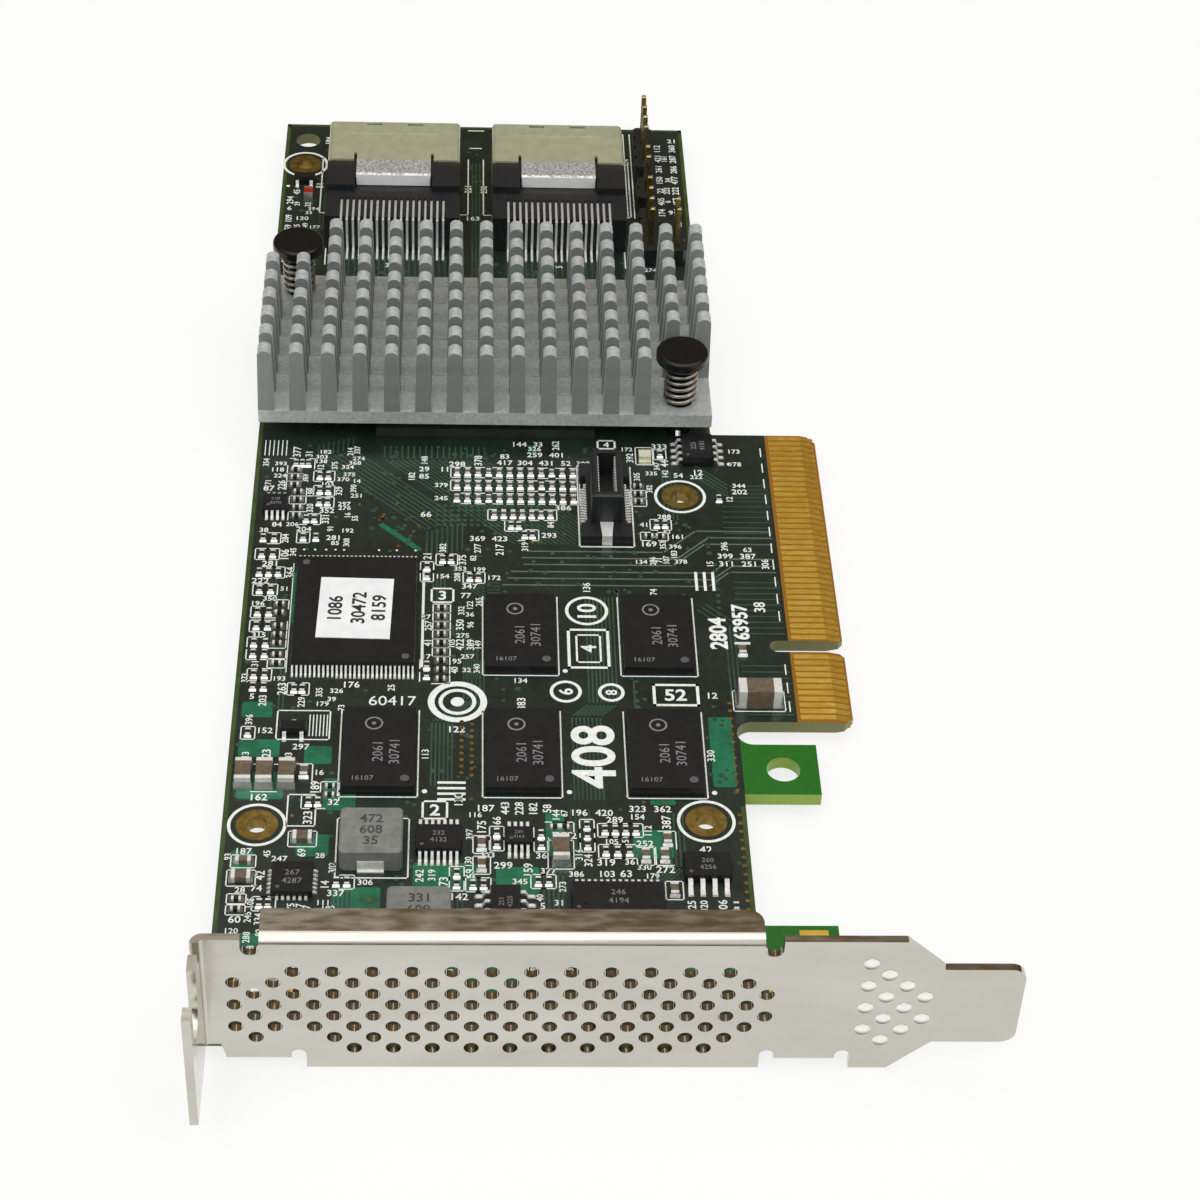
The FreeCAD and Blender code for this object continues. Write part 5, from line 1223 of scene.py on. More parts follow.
# Masked tracks: the first one's points, how many lie side by side, and the shift between them.
BUNDLES: tuple[tuple[tuple[Spot, ...], int, Spot], ...] = (
    # fan from the processor down to the memory
    (((15.6, 94.0), (15.6, 91.5), (31.4, 75.7)), 18, (0.72, 0.0)),
    (((7.5, 94.0), (7.5, 91.5), (21.0, 78.0), (21.0, 72.8)), 8, (0.6, 0.25)),
    (((27.0, 52.0), (27.0, 58.0), (23.2, 61.8), (23.2, 70.0)), 4, (-0.45, 0.0)),
    (((22.0, 35.0), (22.0, 45.0), (25.5, 48.5), (25.5, 55.0)), 6, (0.45, 0.0)),
    (((37.5, 33.0), (37.5, 46.0), (39.5, 48.0), (39.5, 66.0)), 8, (0.45, 0.0)),
    (((44.6, 47.0), (44.6, 52.0), (43.3, 53.3), (43.3, 67.0)), 1, (0.0, 0.0)),
    (((5.0, 46.5), (5.0, 56.0), (3.2, 57.8), (3.2, 70.0)), 2, (0.45, 0.0)),
    (((24.0, 69.5), (28.0, 65.5), (29.5, 65.5)), 6, (0.0, 0.6)),
    # towards the gold fingers
    (((46.5, 78.0), (49.5, 81.0), (49.5, 90.0)), 4, (0.5, -0.3)),
    (((53.5, 91.0), (57.5, 87.0), (62.2, 87.0)), 4, (0.0, -0.75)),
    (((57.0, 60.0), (62.2, 60.0)), 10, (0.0, 1.0)),
    (((56.5, 77.0), (62.2, 77.0)), 8, (0.0, 1.0)),
    (((52.5, 64.0), (55.5, 61.0), (55.5, 49.0)), 3, (0.5, 0.5)),
    (((57.0, 46.5), (62.2, 46.5)), 9, (0.0, 1.0)),
    # behind the heatsink, to the drive ports
    (((9.0, 125.0), (9.0, 135.0)), 18, (0.8, 0.0)),
    (((31.0, 125.0), (31.0, 135.0)), 18, (0.8, 0.0)),
    (((26.2, 126.0), (26.2, 158.0)), 3, (0.5, 0.0)),
    (((2.0, 125.0), (2.0, 139.0), (5.5, 142.5), (5.5, 150.0)), 4, (0.5, 0.0)),
    (((46.5, 125.0), (46.5, 140.0), (49.0, 142.5)), 3, (0.5, 0.0)),
    # supply end, at the bracket
    (((34.0, 14.0), (34.0, 22.0), (37.0, 25.0), (37.0, 31.5)), 5, (0.5, 0.0)),
    (((9.0, 13.0), (12.0, 16.0), (12.0, 20.0)), 5, (0.45, -0.2)),
    (((44.5, 20.0), (47.5, 23.0), (47.5, 31.0)), 4, (0.5, 0.0)),
    (((26.5, 10.0), (26.5, 14.0), (24.5, 16.0), (24.5, 22.0)), 3, (0.5, 0.0)),
)
# Single long runs from the processor to the gold fingers, where the mask is thin.
LONG_RUNS: tuple[tuple[Spot, ...], ...] = (
    ((30.0, 68.2), (54.0, 68.2), (56.6, 70.8), (62.0, 70.8)),
    ((30.5, 69.4), (54.5, 69.4), (57.0, 71.9), (62.0, 71.9)),
    ((31.0, 70.6), (54.4, 70.6), (57.0, 73.2), (62.0, 73.2)),
    ((32.5, 71.9), (50.0, 71.9), (54.0, 75.9), (62.0, 75.9)),
    ((32.3, 73.1), (50.5, 73.1), (54.5, 77.1), (62.0, 77.1)),
    ((33.0, 74.3), (49.0, 74.3), (53.0, 78.3), (62.0, 78.3)),
)
# Copper areas of the supply, corner to corner.
POURS: tuple[Box, ...] = (
    (1.0, 45.5, 4.4, 48.0), (1.0, 39.3, 5.5, 42.0), (10.5, 31.2, 14.0, 36.0), (1.2, 32.8, 6.2, 37.0),
    (20.3, 19.5, 27.0, 23.5), (12.0, 12.0, 17.0, 20.0), (43.5, 24.3, 47.8, 28.5), (34.3, 24.6, 36.3, 31.0),
    (52.6, 35.0, 55.2, 46.0), (24.4, 5.0, 31.0, 9.6), (8.2, 38.2, 11.2, 41.0), (5.6, 61.2, 6.4, 70.2),
    (44.0, 41.0, 45.8, 46.5), (2.0, 8.0, 6.5, 13.5), (29.0, 19.0, 33.5, 23.0), (47.8, 8.5, 55.0, 13.0),
    (36.0, 9.5, 40.5, 12.5), (33.2, 92.8, 33.8, 94.6), (8.0, 24.4, 11.4, 27.6), (1.2, 22.0, 3.6, 25.2),
    (45.6, 32.2, 48.4, 33.0),
)
# Rows of vias: first place, how many across and along, and their pitch both ways.
VIA_GRIDS = ((22.3, 79.0, 16, 5, 0.8, 0.9), (55.0, 60.0, 1, 12, 0.0, 1.1))
BARE_VIA_GRIDS = ((55.15, 15.8, 1, 13, 0.0, 1.25), (55.15, 34.55, 1, 12, 0.0, 1.25),
                  (25.3, 37.0, 1, 9, 0.0, 1.0), (26.4, 36.6, 1, 9, 0.0, 1.0))
# Printed frames of the memory chips, open at the far side: left, right, near and far.
MEMORY_FRAMES: tuple[Box, ...] = (
    (12.05, 20.6, 33.2, 46.7), (27.6, 36.2, 33.2, 46.7), (43.2, 51.9, 33.2, 46.7), (27.6, 36.2, 52.6, 66.0),
    (43.2, 51.9, 52.6, 66.0),
)
# Printed lines, as Layer.bars takes them.
LINES: tuple[tuple[float, ...], ...] = (
    # beside the flash chip and the gold fingers
    (20.75, 54.0, 20.75, 70.6, 0.3), (5.55, 52.9, 5.55, 71.6, 0.12),
    (61.9, 47.0, 61.9, 48.6, 0.14, 3, 0.0, 3.05), (61.9, 62.25, 61.9, 63.85, 0.14, 11, 0.0, 3.05),
    # round both drive ports, and between them
    (5.4, 145.2, 5.4, 159.0, 0.18, 2, 22.3, 0.0), (25.6, 145.2, 25.6, 159.0, 0.18, 2, 22.3, 0.0),
    (6.612, 133.0, 6.612, 145.2, 0.16, 2, 22.3, 0.0), (24.388, 133.0, 24.388, 145.2, 0.16, 2, 22.3, 0.0),
    (6.612, 145.2, 5.4, 145.2, 0.16, 2, 22.3, 0.0), (24.388, 145.2, 25.6, 145.2, 0.16, 2, 22.3, 0.0),
    (25.9, 162.0, 27.4, 162.0, 0.2), (25.6, 166.6, 27.7, 166.6, 0.2),
    # beside the pin headers
    (47.5, 145.0, 47.5, 166.2, 0.16, 2, 0.9, 0.0),
    # combs
    (22.9, 32.9, 25.6, 32.9, 0.34, 4, 0.0, 0.85), (8.6, 42.6, 8.6, 45.9, 0.12, 6, 0.38, 0.0),
    (1.0, 92.0, 1.0, 94.9, 0.12, 6, 0.52, 0.0), (52.6, 67.6, 52.6, 70.6, 0.34, 3, 1.0, 0.0),
)
# Printed rectangles: two corners and the line's width.
FRAMES: tuple[tuple[float, float, float, float, float], ...] = (
    (39.1, 75.2, 45.6, 90.5, 0.18), (12.2, 21.3, 19.8, 30.0, 0.16), (6.8, 28.8, 9.8, 33.5, 0.16),
    (5.0, 42.0, 10.8, 46.6, 0.16), (46.4, 90.9, 48.5, 94.3, 0.14), (21.7, 65.0, 24.2, 67.4, 0.24),
    (21.2, 30.0, 23.8, 32.6, 0.24), (41.8, 94.0, 43.9, 95.6, 0.24), (37.4, 54.0, 41.9, 60.4, 0.34),
    (38.3, 54.9, 41.0, 59.5, 0.22), (46.8, 47.9, 51.7, 51.2, 0.34),
)
# Printed dots: place, width and sides.
DOTS: tuple[tuple[float, float, float, int], ...] = (
    (21.35, 34.1, 0.6, 14), (36.95, 34.1, 0.6, 14), (52.65, 34.1, 0.6, 14), (36.9, 53.4, 0.6, 14),
    (57.9, 91.2, 0.6, 14), (0.85, 151.7, 0.5, 14), (24.8, 48.2, 1.5, 24),
    *((x, 74.2, 0.3, 8) for x in (6.6, 7.9, 9.2, 10.3, 11.3, 15.4, 17.5, 19.7)),
)
# Printed rings: place, outer width, line's width and sides.
RINGS: tuple[tuple[float, float, float, float, int], ...] = (
    (24.8, 48.2, 6.6, 0.75, 56), (24.8, 48.2, 4.2, 0.45, 48), (36.9, 50.0, 3.6, 0.38, 40),
    (42.0, 49.9, 3.0, 0.38, 40), (39.6, 63.7, 5.0, 0.38, 40),
    *((x, y, 6.3, 0.35, 40) for x, y in PLATED_HOLES),
)
# Printed numbers: digits, place, height, reading and boldness.
NUMBERS: tuple[tuple[str, float, float, float, Finding, float], ...] = (
    ("3", 22.95, 66.2, 1.488, Finding.ACROSS, 0.02), ("2", 22.5, 31.3, 1.612, Finding.ACROSS, 0.02),
    ("4", 42.85, 94.8, 0.992, Finding.ACROSS, 0.02), ("60417", 17.6, 48.3, 1.5, Finding.ACROSS, 0.0),
    ("408", 39.7, 39.6, 4.6, Finding.ALONG, 0.02), ("6", 36.9, 50.0, 1.512, Finding.ALONG, 0.02),
    ("8", 42.0, 49.9, 1.26, Finding.ALONG, 0.02), ("10", 39.6, 63.7, 2.1, Finding.ALONG, 0.02),
    ("4", 39.65, 57.2, 1.7, Finding.ALONG, 0.02), ("52", 49.2, 49.55, 1.8, Finding.ACROSS, 0.02),
    ("2804", 54.6, 60.0, 1.9, Finding.ALONG, 0.03), ("163957", 57.3, 61.6, 1.7, Finding.ALONG, 0.03),
    ("38", 59.7, 64.6, 1.3, Finding.ALONG, 0.01),
)
# Rows of small place numbers: first place, how many, shift between them, and reading.
CLUSTERS: tuple[tuple[float, float, int, float, float, Finding], ...] = (
    (30.3, 91.0, 4, 2.5, 0.0, Finding.ACROSS), (34.0, 92.6, 2, 2.6, 0.0, Finding.ACROSS),
    (32.2, 94.7, 1, 0.0, 0.0, Finding.ACROSS), (20.5, 89.6, 2, 2.5, 0.0, Finding.ACROSS),
    (20.5, 88.2, 2, 2.5, 0.0, Finding.ACROSS), (56.3, 72.3, 2, 2.7, 0.0, Finding.ACROSS),
    (56.3, 73.7, 2, 2.7, 0.0, Finding.ACROSS), (58.8, 85.8, 1, 0.0, 0.0, Finding.ACROSS),
    (52.2, 146.5, 7, 0.0, 2.7, Finding.ALONG), (54.3, 146.5, 7, 0.0, 2.7, Finding.ALONG),
    (1.3, 141.6, 4, 0.0, 2.2, Finding.ALONG), (27.0, 76.5, 3, 2.6, 0.0, Finding.ACROSS),
    (25.0, 64.5, 3, 0.0, -3.4, Finding.ALONG), (44.2, 31.6, 3, 2.7, 0.0, Finding.ACROSS),
    (30.0, 31.6, 4, 1.5, 0.0, Finding.ALONG), (38.0, 31.0, 3, 2.6, 0.0, Finding.ACROSS),
)
# Areas that are filled up with more of them.
ZONES: tuple[Box, ...] = (
    (0.7, 50.0, 5.4, 93.0), (5.6, 75.0, 12.5, 93.5), (20.8, 52.5, 27.3, 60.5), (24.6, 60.5, 27.4, 73.0),
    (19.9, 8.0, 36.5, 32.0), (36.0, 12.0, 47.0, 31.5), (1.0, 126.0, 5.0, 152.0), (46.0, 72.0, 51.0, 80.0),
    (0.8, 8.0, 12.0, 25.0), (56.2, 46.0, 60.5, 56.0), (44.0, 86.0, 54.0, 94.0), (6.5, 45.8, 12.0, 50.5),
)
# Areas that the larger print keeps for itself.
RESERVED: tuple[Box, ...] = (
    (1.0, 161.4, 5.2, 165.6), (21.2, 44.6, 28.4, 51.8), (36.9, 32.6, 42.5, 52.4), (37.0, 53.6, 42.4, 66.4),
    (46.2, 47.4, 52.2, 51.6), (52.4, 53.5, 60.6, 71.2), (13.6, 47.3, 21.2, 49.4), (21.4, 64.6, 24.6, 67.8),
    (0.8, 91.6, 4.0, 95.2), (5.0, 42.0, 10.8, 46.6), (20.8, 29.6, 24.2, 36.2), (22.0, 78.5, 35.0, 83.4),
)


@dataclass
class Board(Assembly):
    """The laminate with its tracks, pours, vias, gold fingers and printed legend."""

    crowd: Crowd
    track_width: float = 0.2
    track_height: float = 0.02
    pour_height: float = 0.014
    pour_corner: float = 0.35
    rim_width: float = 0.5
    rim_inset: float = 0.27
    rim_starts: Spot = (9.8, 96.8)  # along the card, on the left edge and on the right one
    rim_leg: Spot = (16.0, 31.8)  # the short piece beside the bracket
    side_edge: float = 55.9
    barrel_across: float = 2.29
    barrel_wall: float = 0.04
    barrel_height: float = 1.55
    barrel_lift: float = -1.56
    frame_width: float = 0.16
    via_across: float = 0.55
    via_room: float = 0.4
    via_count: int = 420
    via_tries: int = 2520
    bare_via_room: float = 0.35
    bare_via_tries: int = 150
    via_area: Box = (0.8, 6.5, 55.1, 163.0)
    via_gap: Spot = (94.0, 125.5)  # no via caps under the heatsink
    bare_via_across: Spot = (1.0, 54.0)
    bare_via_bands: tuple[Spot, ...] = ((8.0, 36.0), (75.0, 83.0))
    print_areas: tuple[Box, ...] = ((0.5, 5.5, 55.4, 166.6), (55.0, 58.0, 61.5, 96.0))
    number_sizes: tuple[float, ...] = (0.78, 0.86, 0.95)
    number_gap: float = 0.35
    digit_advance: float = 0.85  # width of one digit over its height
    density: float = 1.6  # numbers tried for a square millimetre of a zone
    seed: int = 5

    def tracks(self) -> None:
        """Lays the masked copper tracks."""
        layer = Layer(self.plan, 0.0, self.track_height)
        for spots, count, (dx, dy) in BUNDLES:
            for index in range(count):
                layer.path([(x + dx * index, y + dy * index) for x, y in spots], self.track_width)
        layer.piece("tracks", MASKED_COPPER, SOLDER_MASK)
        pale = Layer(self.plan, 0.0, self.track_height + 0.004)
        for spots in LONG_RUNS:
            pale.path(spots, self.track_width)
        pale.piece("long_tracks", PALE_TRACK, SOLDER_MASK)

    def pours(self) -> None:
        """Lays the larger masked copper areas of the supply, with rounded corners."""
        layer = Layer(self.plan, 0.0, self.pour_height)
        for box in POURS:
            layer.block(*box)
        bmesh.ops.bevel(
            layer.mesh, geom=layer.mesh.verts[:], offset=self.pour_corner * MM, affect="VERTICES", segments=3,
            profile=0.5, material=-1,
        )
        layer.bar((15.7, 78.8), (20.0, 74.5), 0.7)
        layer.piece("pours", MASKED_POUR, SOLDER_MASK)

    def vias(self) -> None:
        """Lays via caps in grids, then scatters more where nothing stands, masked ones and bare ones."""
        dice = random.Random(self.seed)
        masked = Layer(self.plan, self.track_height, 0.015)
        bare = Layer(self.plan, self.track_height, 0.02)
        for layer, grids, across in ((masked, VIA_GRIDS, self.via_across), (bare, BARE_VIA_GRIDS, 0.5)):
            for x, y, columns, rows, dx, dy in grids:
                for row in range(rows):
                    for column in range(columns):
                        layer.dot(x + column * dx, y + row * dy, across, sides=8)
        placed = 0
        left, near, right, far = self.via_area
        for _ in range(self.via_tries):
            x, y = dice.uniform(left, right), dice.uniform(near, far)
            if placed >= self.via_count:
                break
            if self.via_gap[0] < y < self.via_gap[1] or not self.crowd.free(square(x, y, self.via_room)):
                continue
            masked.dot(x, y, self.via_across * dice.choice((0.8, 1.0, 1.0, 1.3)), sides=8)
            placed += 1
        for _ in range(self.bare_via_tries):
            x = dice.uniform(*self.bare_via_across)
            y = dice.choice([dice.uniform(*band) for band in self.bare_via_bands])
            if self.crowd.free(square(x, y, self.bare_via_room)):
                bare.dot(x, y, 0.45, sides=8)
        masked.piece("via_caps", MASKED_COPPER, SOLDER_MASK)
        bare.piece("bare_vias", DARKENED_GOLD, "gold_plate")

    def rims(self) -> None:
        """Lays the paler rim where the inner copper stops short of the edges, and plates the holes."""
        rim = Layer(self.plan, 0.0, 0.01)
        near, far = self.rim_inset, self.plan.span("circuit_board").high.y - self.rim_inset
        side = self.side_edge - self.rim_inset
        left_start, right_start = self.rim_starts
        rim.path(((near, left_start), (near, far), (side, far), (side, right_start)), self.rim_width)
        rim.bar((side, self.rim_leg[0]), (side, self.rim_leg[1]), self.rim_width)
        rim.piece("board_rims", CLEAR_RIM, SOLDER_MASK)
        barrels = Layer(self.plan, self.barrel_lift, self.barrel_height)
        for x, y in PLATED_HOLES:
            barrels.ring(x, y, self.barrel_across, self.barrel_wall, sides=32)
        barrels.piece("hole_plating", DARKENED_GOLD, "gold_plate")

    def legend(self, silk: Layer) -> None:
        """Prints frames, rings, marks and the larger plain numbers.

        Args:
            silk: the print layer.
        """
        for x, y, across, width, sides in RINGS:
            silk.ring(x, y, across, width, sides=sides)
        for left, right, near, far in MEMORY_FRAMES:
            silk.path(((left, far), (left, near), (right, near), (right, far)), self.frame_width)
        silk.bars(LINES)
        for frame in FRAMES:
            silk.outline(*frame)
        for x, y, across, sides in DOTS:
            silk.dot(x, y, across, sides=sides)
        for text, x, y, height, finding, bold in NUMBERS:
            silk.number(text, x, y, height, finding.value, bold=bold)

    def reach(self, number: str, size: float, finding: Finding) -> Spot:
        """Gives half the room that a number takes, across and along the card.

        Args:
            number: the digits.
            size: their height in millimetres.
            finding: which way they read.

        Returns:
            The two halves.
        """
        length = len(number) * size * self.digit_advance
        return (length / 2, size / 2) if finding is Finding.ACROSS else (size / 2, length / 2)

    def numbers(self, silk: Layer) -> int:
        """Prints place numbers in the clusters and wherever there is room beside a part.

        Args:
            silk: the print layer.

        Returns:
            How many numbers were printed.
        """
        dice = random.Random(self.seed + 1)
        printed = 0
        for x, y, count, dx, dy, finding in CLUSTERS:
            for index in range(count):
                number = str(dice.randint(11, 499))
                printed += self.print_at(silk, number, x + dx * index, y + dy * index, 0.9, finding)
        for box in list(self.crowd.taken):
            size = dice.choice(self.number_sizes)
            number = str(dice.randint(5, 399))
            finding = dice.choice((Finding.ACROSS, Finding.ALONG))
            half = self.reach(number, size, finding)
            aside, beyond = half[0] + self.number_gap, half[1] + self.number_gap
            middle = box.middle
            places = [(box.low.x - aside, middle.y), (box.high.x + aside, middle.y),
                      (middle.x, box.low.y - beyond), (middle.x, box.high.y + beyond)]
            dice.shuffle(places)
            printed += any(self.print_at(silk, number, x, y, size, finding) for x, y in places)
        for x0, y0, x1, y1 in ZONES:
            for _ in range(int((x1 - x0) * (y1 - y0) * self.density)):
                x, y = dice.uniform(x0, x1), dice.uniform(y0, y1)
                finding = dice.choice((Finding.ACROSS, Finding.ALONG))
                printed += self.print_at(silk, str(dice.randint(11, 399)), x, y, 0.72, finding)
        return printed

    def print_at(self, silk: Layer, number: str, x: float, y: float, size: float, finding: Finding) -> bool:
        """Prints one number if its place is free.

        Args:
            silk: the print layer.
            number: the digits.
            x: middle across the card.
            y: middle along the card.
            size: the digits' height.
            finding: which way it reads.

        Returns:
            Whether it was printed.
        """
        dx, dy = self.reach(number, size, finding)
        spot = area(x - dx, y - dy, x + dx, y + dy)
        inside = any(
            x0 < spot.low.x and spot.high.x < x1 and y0 < spot.low.y and spot.high.y < y1
            for x0, y0, x1, y1 in self.print_areas
        )
        if SINK_Y[0] < y < SINK_Y[1] or not inside or not self.crowd.free(spot):
            return False
        silk.number(number, x, y, size, finding.value, bold=0.012)
        self.crowd.take(spot)
        return True

    def reserve(self) -> None:
        """Keeps tracks' caps and numbers off the connectors, holes and larger print."""
        ports = (f"drive_port_{part}_{side}" for part in ("shell", "leads", "housing")
                 for side in ("left", "right"))
        for name in (*ports, "mezzanine_housing", "mezzanine_contacts", "status_light", "fault_light"):
            self.crowd.take(self.plan.span(name).grown(0.3))
        self.crowd.take(*(lump.grown(0.3) for lump in self.solids("header_bases")))
        self.crowd.take(*(square(x, y, 3.3) for x, y in PLATED_HOLES))
        self.crowd.take(*(area(*box) for box in RESERVED))

    def build(self, silk: Layer) -> int:
        """Builds the board's layers and dresses it.

        Args:
            silk: the print layer, already holding the print round the chips.

        Returns:
            How many place numbers were printed.
        """
        self.reserve()
        self.tracks()
        self.pours()
        self.rims()
        self.legend(silk)
        printed = self.numbers(silk)
        self.vias()
        silk.piece("legend", SILK_INK)
        self.book.dress("circuit_board", "edge_contacts", "plated_pads", "screw_pads")
        # The plated rings get the darkened gold: painted dark reflection.
        self.book.coat("plated_pads", DARKENED_GOLD)
        return printed


@dataclass
class SolderSide(Assembly):
    """The board's underside: joints round the pins' tails, via caps, tracks and plain numbers."""

    joint_across: float = 1.7
    joint_height: float = 0.7
    joint_tip: float = 0.28  # radius of a joint at the tail's end over its width
    tail_reach: float = 0.2  # tails come at least this far through the board
    bundles: tuple[tuple[float, int, float, float], ...] = (
        (6.0, 8, 36.0, 92.0), (22.0, 10, 40.0, 88.0), (38.0, 9, 36.0, 80.0), (10.0, 12, 126.0, 150.0),
        (30.0, 10, 126.0, 150.0), (16.0, 6, 10.0, 30.0),
    )
    track_width: float = 0.2
    track_shift: Spot = (0.62, 0.6)  # from one track of a bundle to the next
    track_bend: float = 3.0
    other_holes: tuple[Spot, ...] = ((3.1, 163.5), (51.9, 98.3), (4.0, 120.9))
    hole_room: float = 3.4
    header_area: Box = (45.0, 140.0, 56.0, 167.0)
    number_area: Box = (3.0, 10.0, 53.0, 162.0)
    via_area: Box = (1.0, 8.0, 55.0, 166.0)
    number_count: int = 60
    via_count: int = 260
    seed: int = 23

    def joints(self) -> int:
        """Builds a cone of solder round every tail that comes through the board.

        Returns:
            How many joints there are.
        """
        under = self.plan.span("circuit_board").low.z
        spots: set[Spot] = set()
        for name in ("header_pins", "drive_port_shell_left", "drive_port_shell_right"):
            for vertex in self.book.nodes[name].data.vertices:
                place = self.plan.back(vertex.co)
                if place.z < under - self.tail_reach and not any(
                    math.hypot(place.x - x, place.y - y) < self.joint_across for x, y in spots
                ):
                    spots.add((place.x, place.y))
        shape = bmesh.new()
        for x, y in sorted(spots):
            matrix = Matrix.Translation(self.plan.at(x, y, under - self.joint_height / 2))
            bmesh.ops.create_cone(
                shape, cap_ends=True, segments=16, radius1=self.joint_across * self.joint_tip * MM,
                radius2=self.joint_across / 2 * MM, depth=self.joint_height * MM, matrix=matrix,
            )
        settle(shape, "solder_joints", SOLDER)
        return len(spots)

    def tracks(self) -> None:
        """Lays bundles of tracks that bend off at their far ends."""
        layer = Layer(self.plan, 0.0, 0.02, under=True)
        for left, count, low, high in self.bundles:
            for index in range(count):
                x, inset = left + index * self.track_shift[0], index * self.track_shift[1]
                start, end = low + inset, high - inset
                bend = (x + self.track_bend, end + self.track_bend)
                layer.path(((x, start), (x, end), bend), self.track_width)
        layer.piece("under_tracks", MASKED_COPPER, SOLDER_MASK)

    def build(self) -> int:
        """Builds the underside's layers.

        Returns:
            How many joints there are.
        """
        dice = random.Random(self.seed)
        crowd = Crowd()
        crowd.take(*(square(x, y, self.hole_room) for x, y in (*PLATED_HOLES, *self.other_holes)))
        crowd.take(area(*self.header_area))
        self.tracks()
        silk = Layer(self.plan, 0.022, 0.018, under=True)
        caps = Layer(self.plan, 0.02, 0.015, under=True)
        left, near, right, far = self.number_area
        for _ in range(self.number_count):
            x, y = dice.uniform(left, right), dice.uniform(near, far)
            spot = area(x - 1.6, y - 0.8, x + 1.6, y + 0.8)
            if crowd.free(spot):
                silk.number(str(dice.randint(11, 499)), x, y, 0.95, dice.choice((0.0, 90.0)), bold=0.012)
                crowd.take(spot)
        for x, y in PLATED_HOLES:
            silk.ring(x, y, 6.3, 0.35)
        silk.piece("under_legend", SILK_INK)
        left, near, right, far = self.via_area
        for _ in range(self.via_count):
            x, y = dice.uniform(left, right), dice.uniform(near, far)
            if crowd.free(square(x, y, 0.4)):
                caps.dot(x, y, 0.55, sides=8)
        caps.piece("under_via_caps", MASKED_COPPER, SOLDER_MASK)
        return self.joints()


@dataclass
class Cooler(Assembly):
    """The pin heatsink with its two sprung push pins."""

    def build(self) -> int:
        """Dresses the heatsink, pins and springs.

        Returns:
            How many nodes were dressed.
        """
        return self.book.dress(
            "heatsink", "push_pin_front", "push_pin_rear", "push_pin_spring_front", "push_pin_spring_rear"
        )


@dataclass
class Sockets(Assembly):
    """Drive ports, pin headers, daughter-board socket and lights."""

    lip_width: float = 9.85
    lip_height: float = 1.62
    lip_sheet: float = 0.06
    lip_drop: float = 0.05  # from the shell's top to the lip's
    lip_round: float = 0.02
    shell_top: float = 6.5
    end_share: float = 0.2  # of the fault light's length
    end_lap: float = 0.02  # how far its ends stand proud

    def lips(self) -> None:
        """Builds a near-white sheet on the face of each shell's turned-down tongue: a painted highlight."""
        shape = bmesh.new()
        scale = Matrix.Diagonal((self.lip_width * MM, self.lip_sheet * MM, self.lip_height * MM, 1.0))
        for side in ("left", "right"):
            box = self.plan.span(f"drive_port_shell_{side}")
            height = self.shell_top - self.lip_height / 2 - self.lip_drop
            spot = self.plan.at(box.middle.x, box.low.y, height)
            made = bmesh.ops.create_cube(shape, size=1.0, matrix=Matrix.Translation(spot) @ scale)
            edges = list({edge for vert in made["verts"] for edge in vert.link_edges})
            bmesh.ops.bevel(
                shape, geom=edges, offset=self.lip_round * MM, affect="EDGES", segments=2, profile=0.5,
                material=-1,
            )
        # Painted highlight: the near-white sheets stand on the tongues' faces.
        settle(shape, "shell_lips", HIGHLIGHT_TIN)

    def light_ends(self) -> None:
        """Caps the two ends of the fault light with tin."""
        box = self.plan.span("fault_light")
        lap, length = self.end_lap, box.size.y * self.end_share
        caps = Layer(self.plan, 0.0, box.high.z + lap)
        for low in (box.low.y - lap, box.high.y - length + lap):
            caps.block(box.low.x - lap, low, box.high.x + lap, low + length)
        caps.piece("fault_light_ends", SOLDER, "fault_light_body")

    def build(self) -> int:
        """Builds the lips and the light's ends and dresses the connectors.

        Returns:
            How many nodes were dressed.
        """
        self.lips()
        self.light_ends()
        ports = (f"drive_port_{part}_{side}" for part in ("housing", "leads", "shell")
                 for side in ("left", "right"))
        return self.book.dress(
            *ports, "header_bases", "header_pins", "mezzanine_housing", "mezzanine_contacts", "mezzanine_clips",
            "status_light", "fault_light",
        )


@dataclass
class SlotBracket(Assembly):
    """The perforated bracket and its screws."""

    def build(self) -> int:
        """Dresses the bracket.

        Returns:
            How many nodes were dressed.
        """
        return self.book.dress("slot_bracket", "board_screws")


# ---------------------------------------------------------------- studio


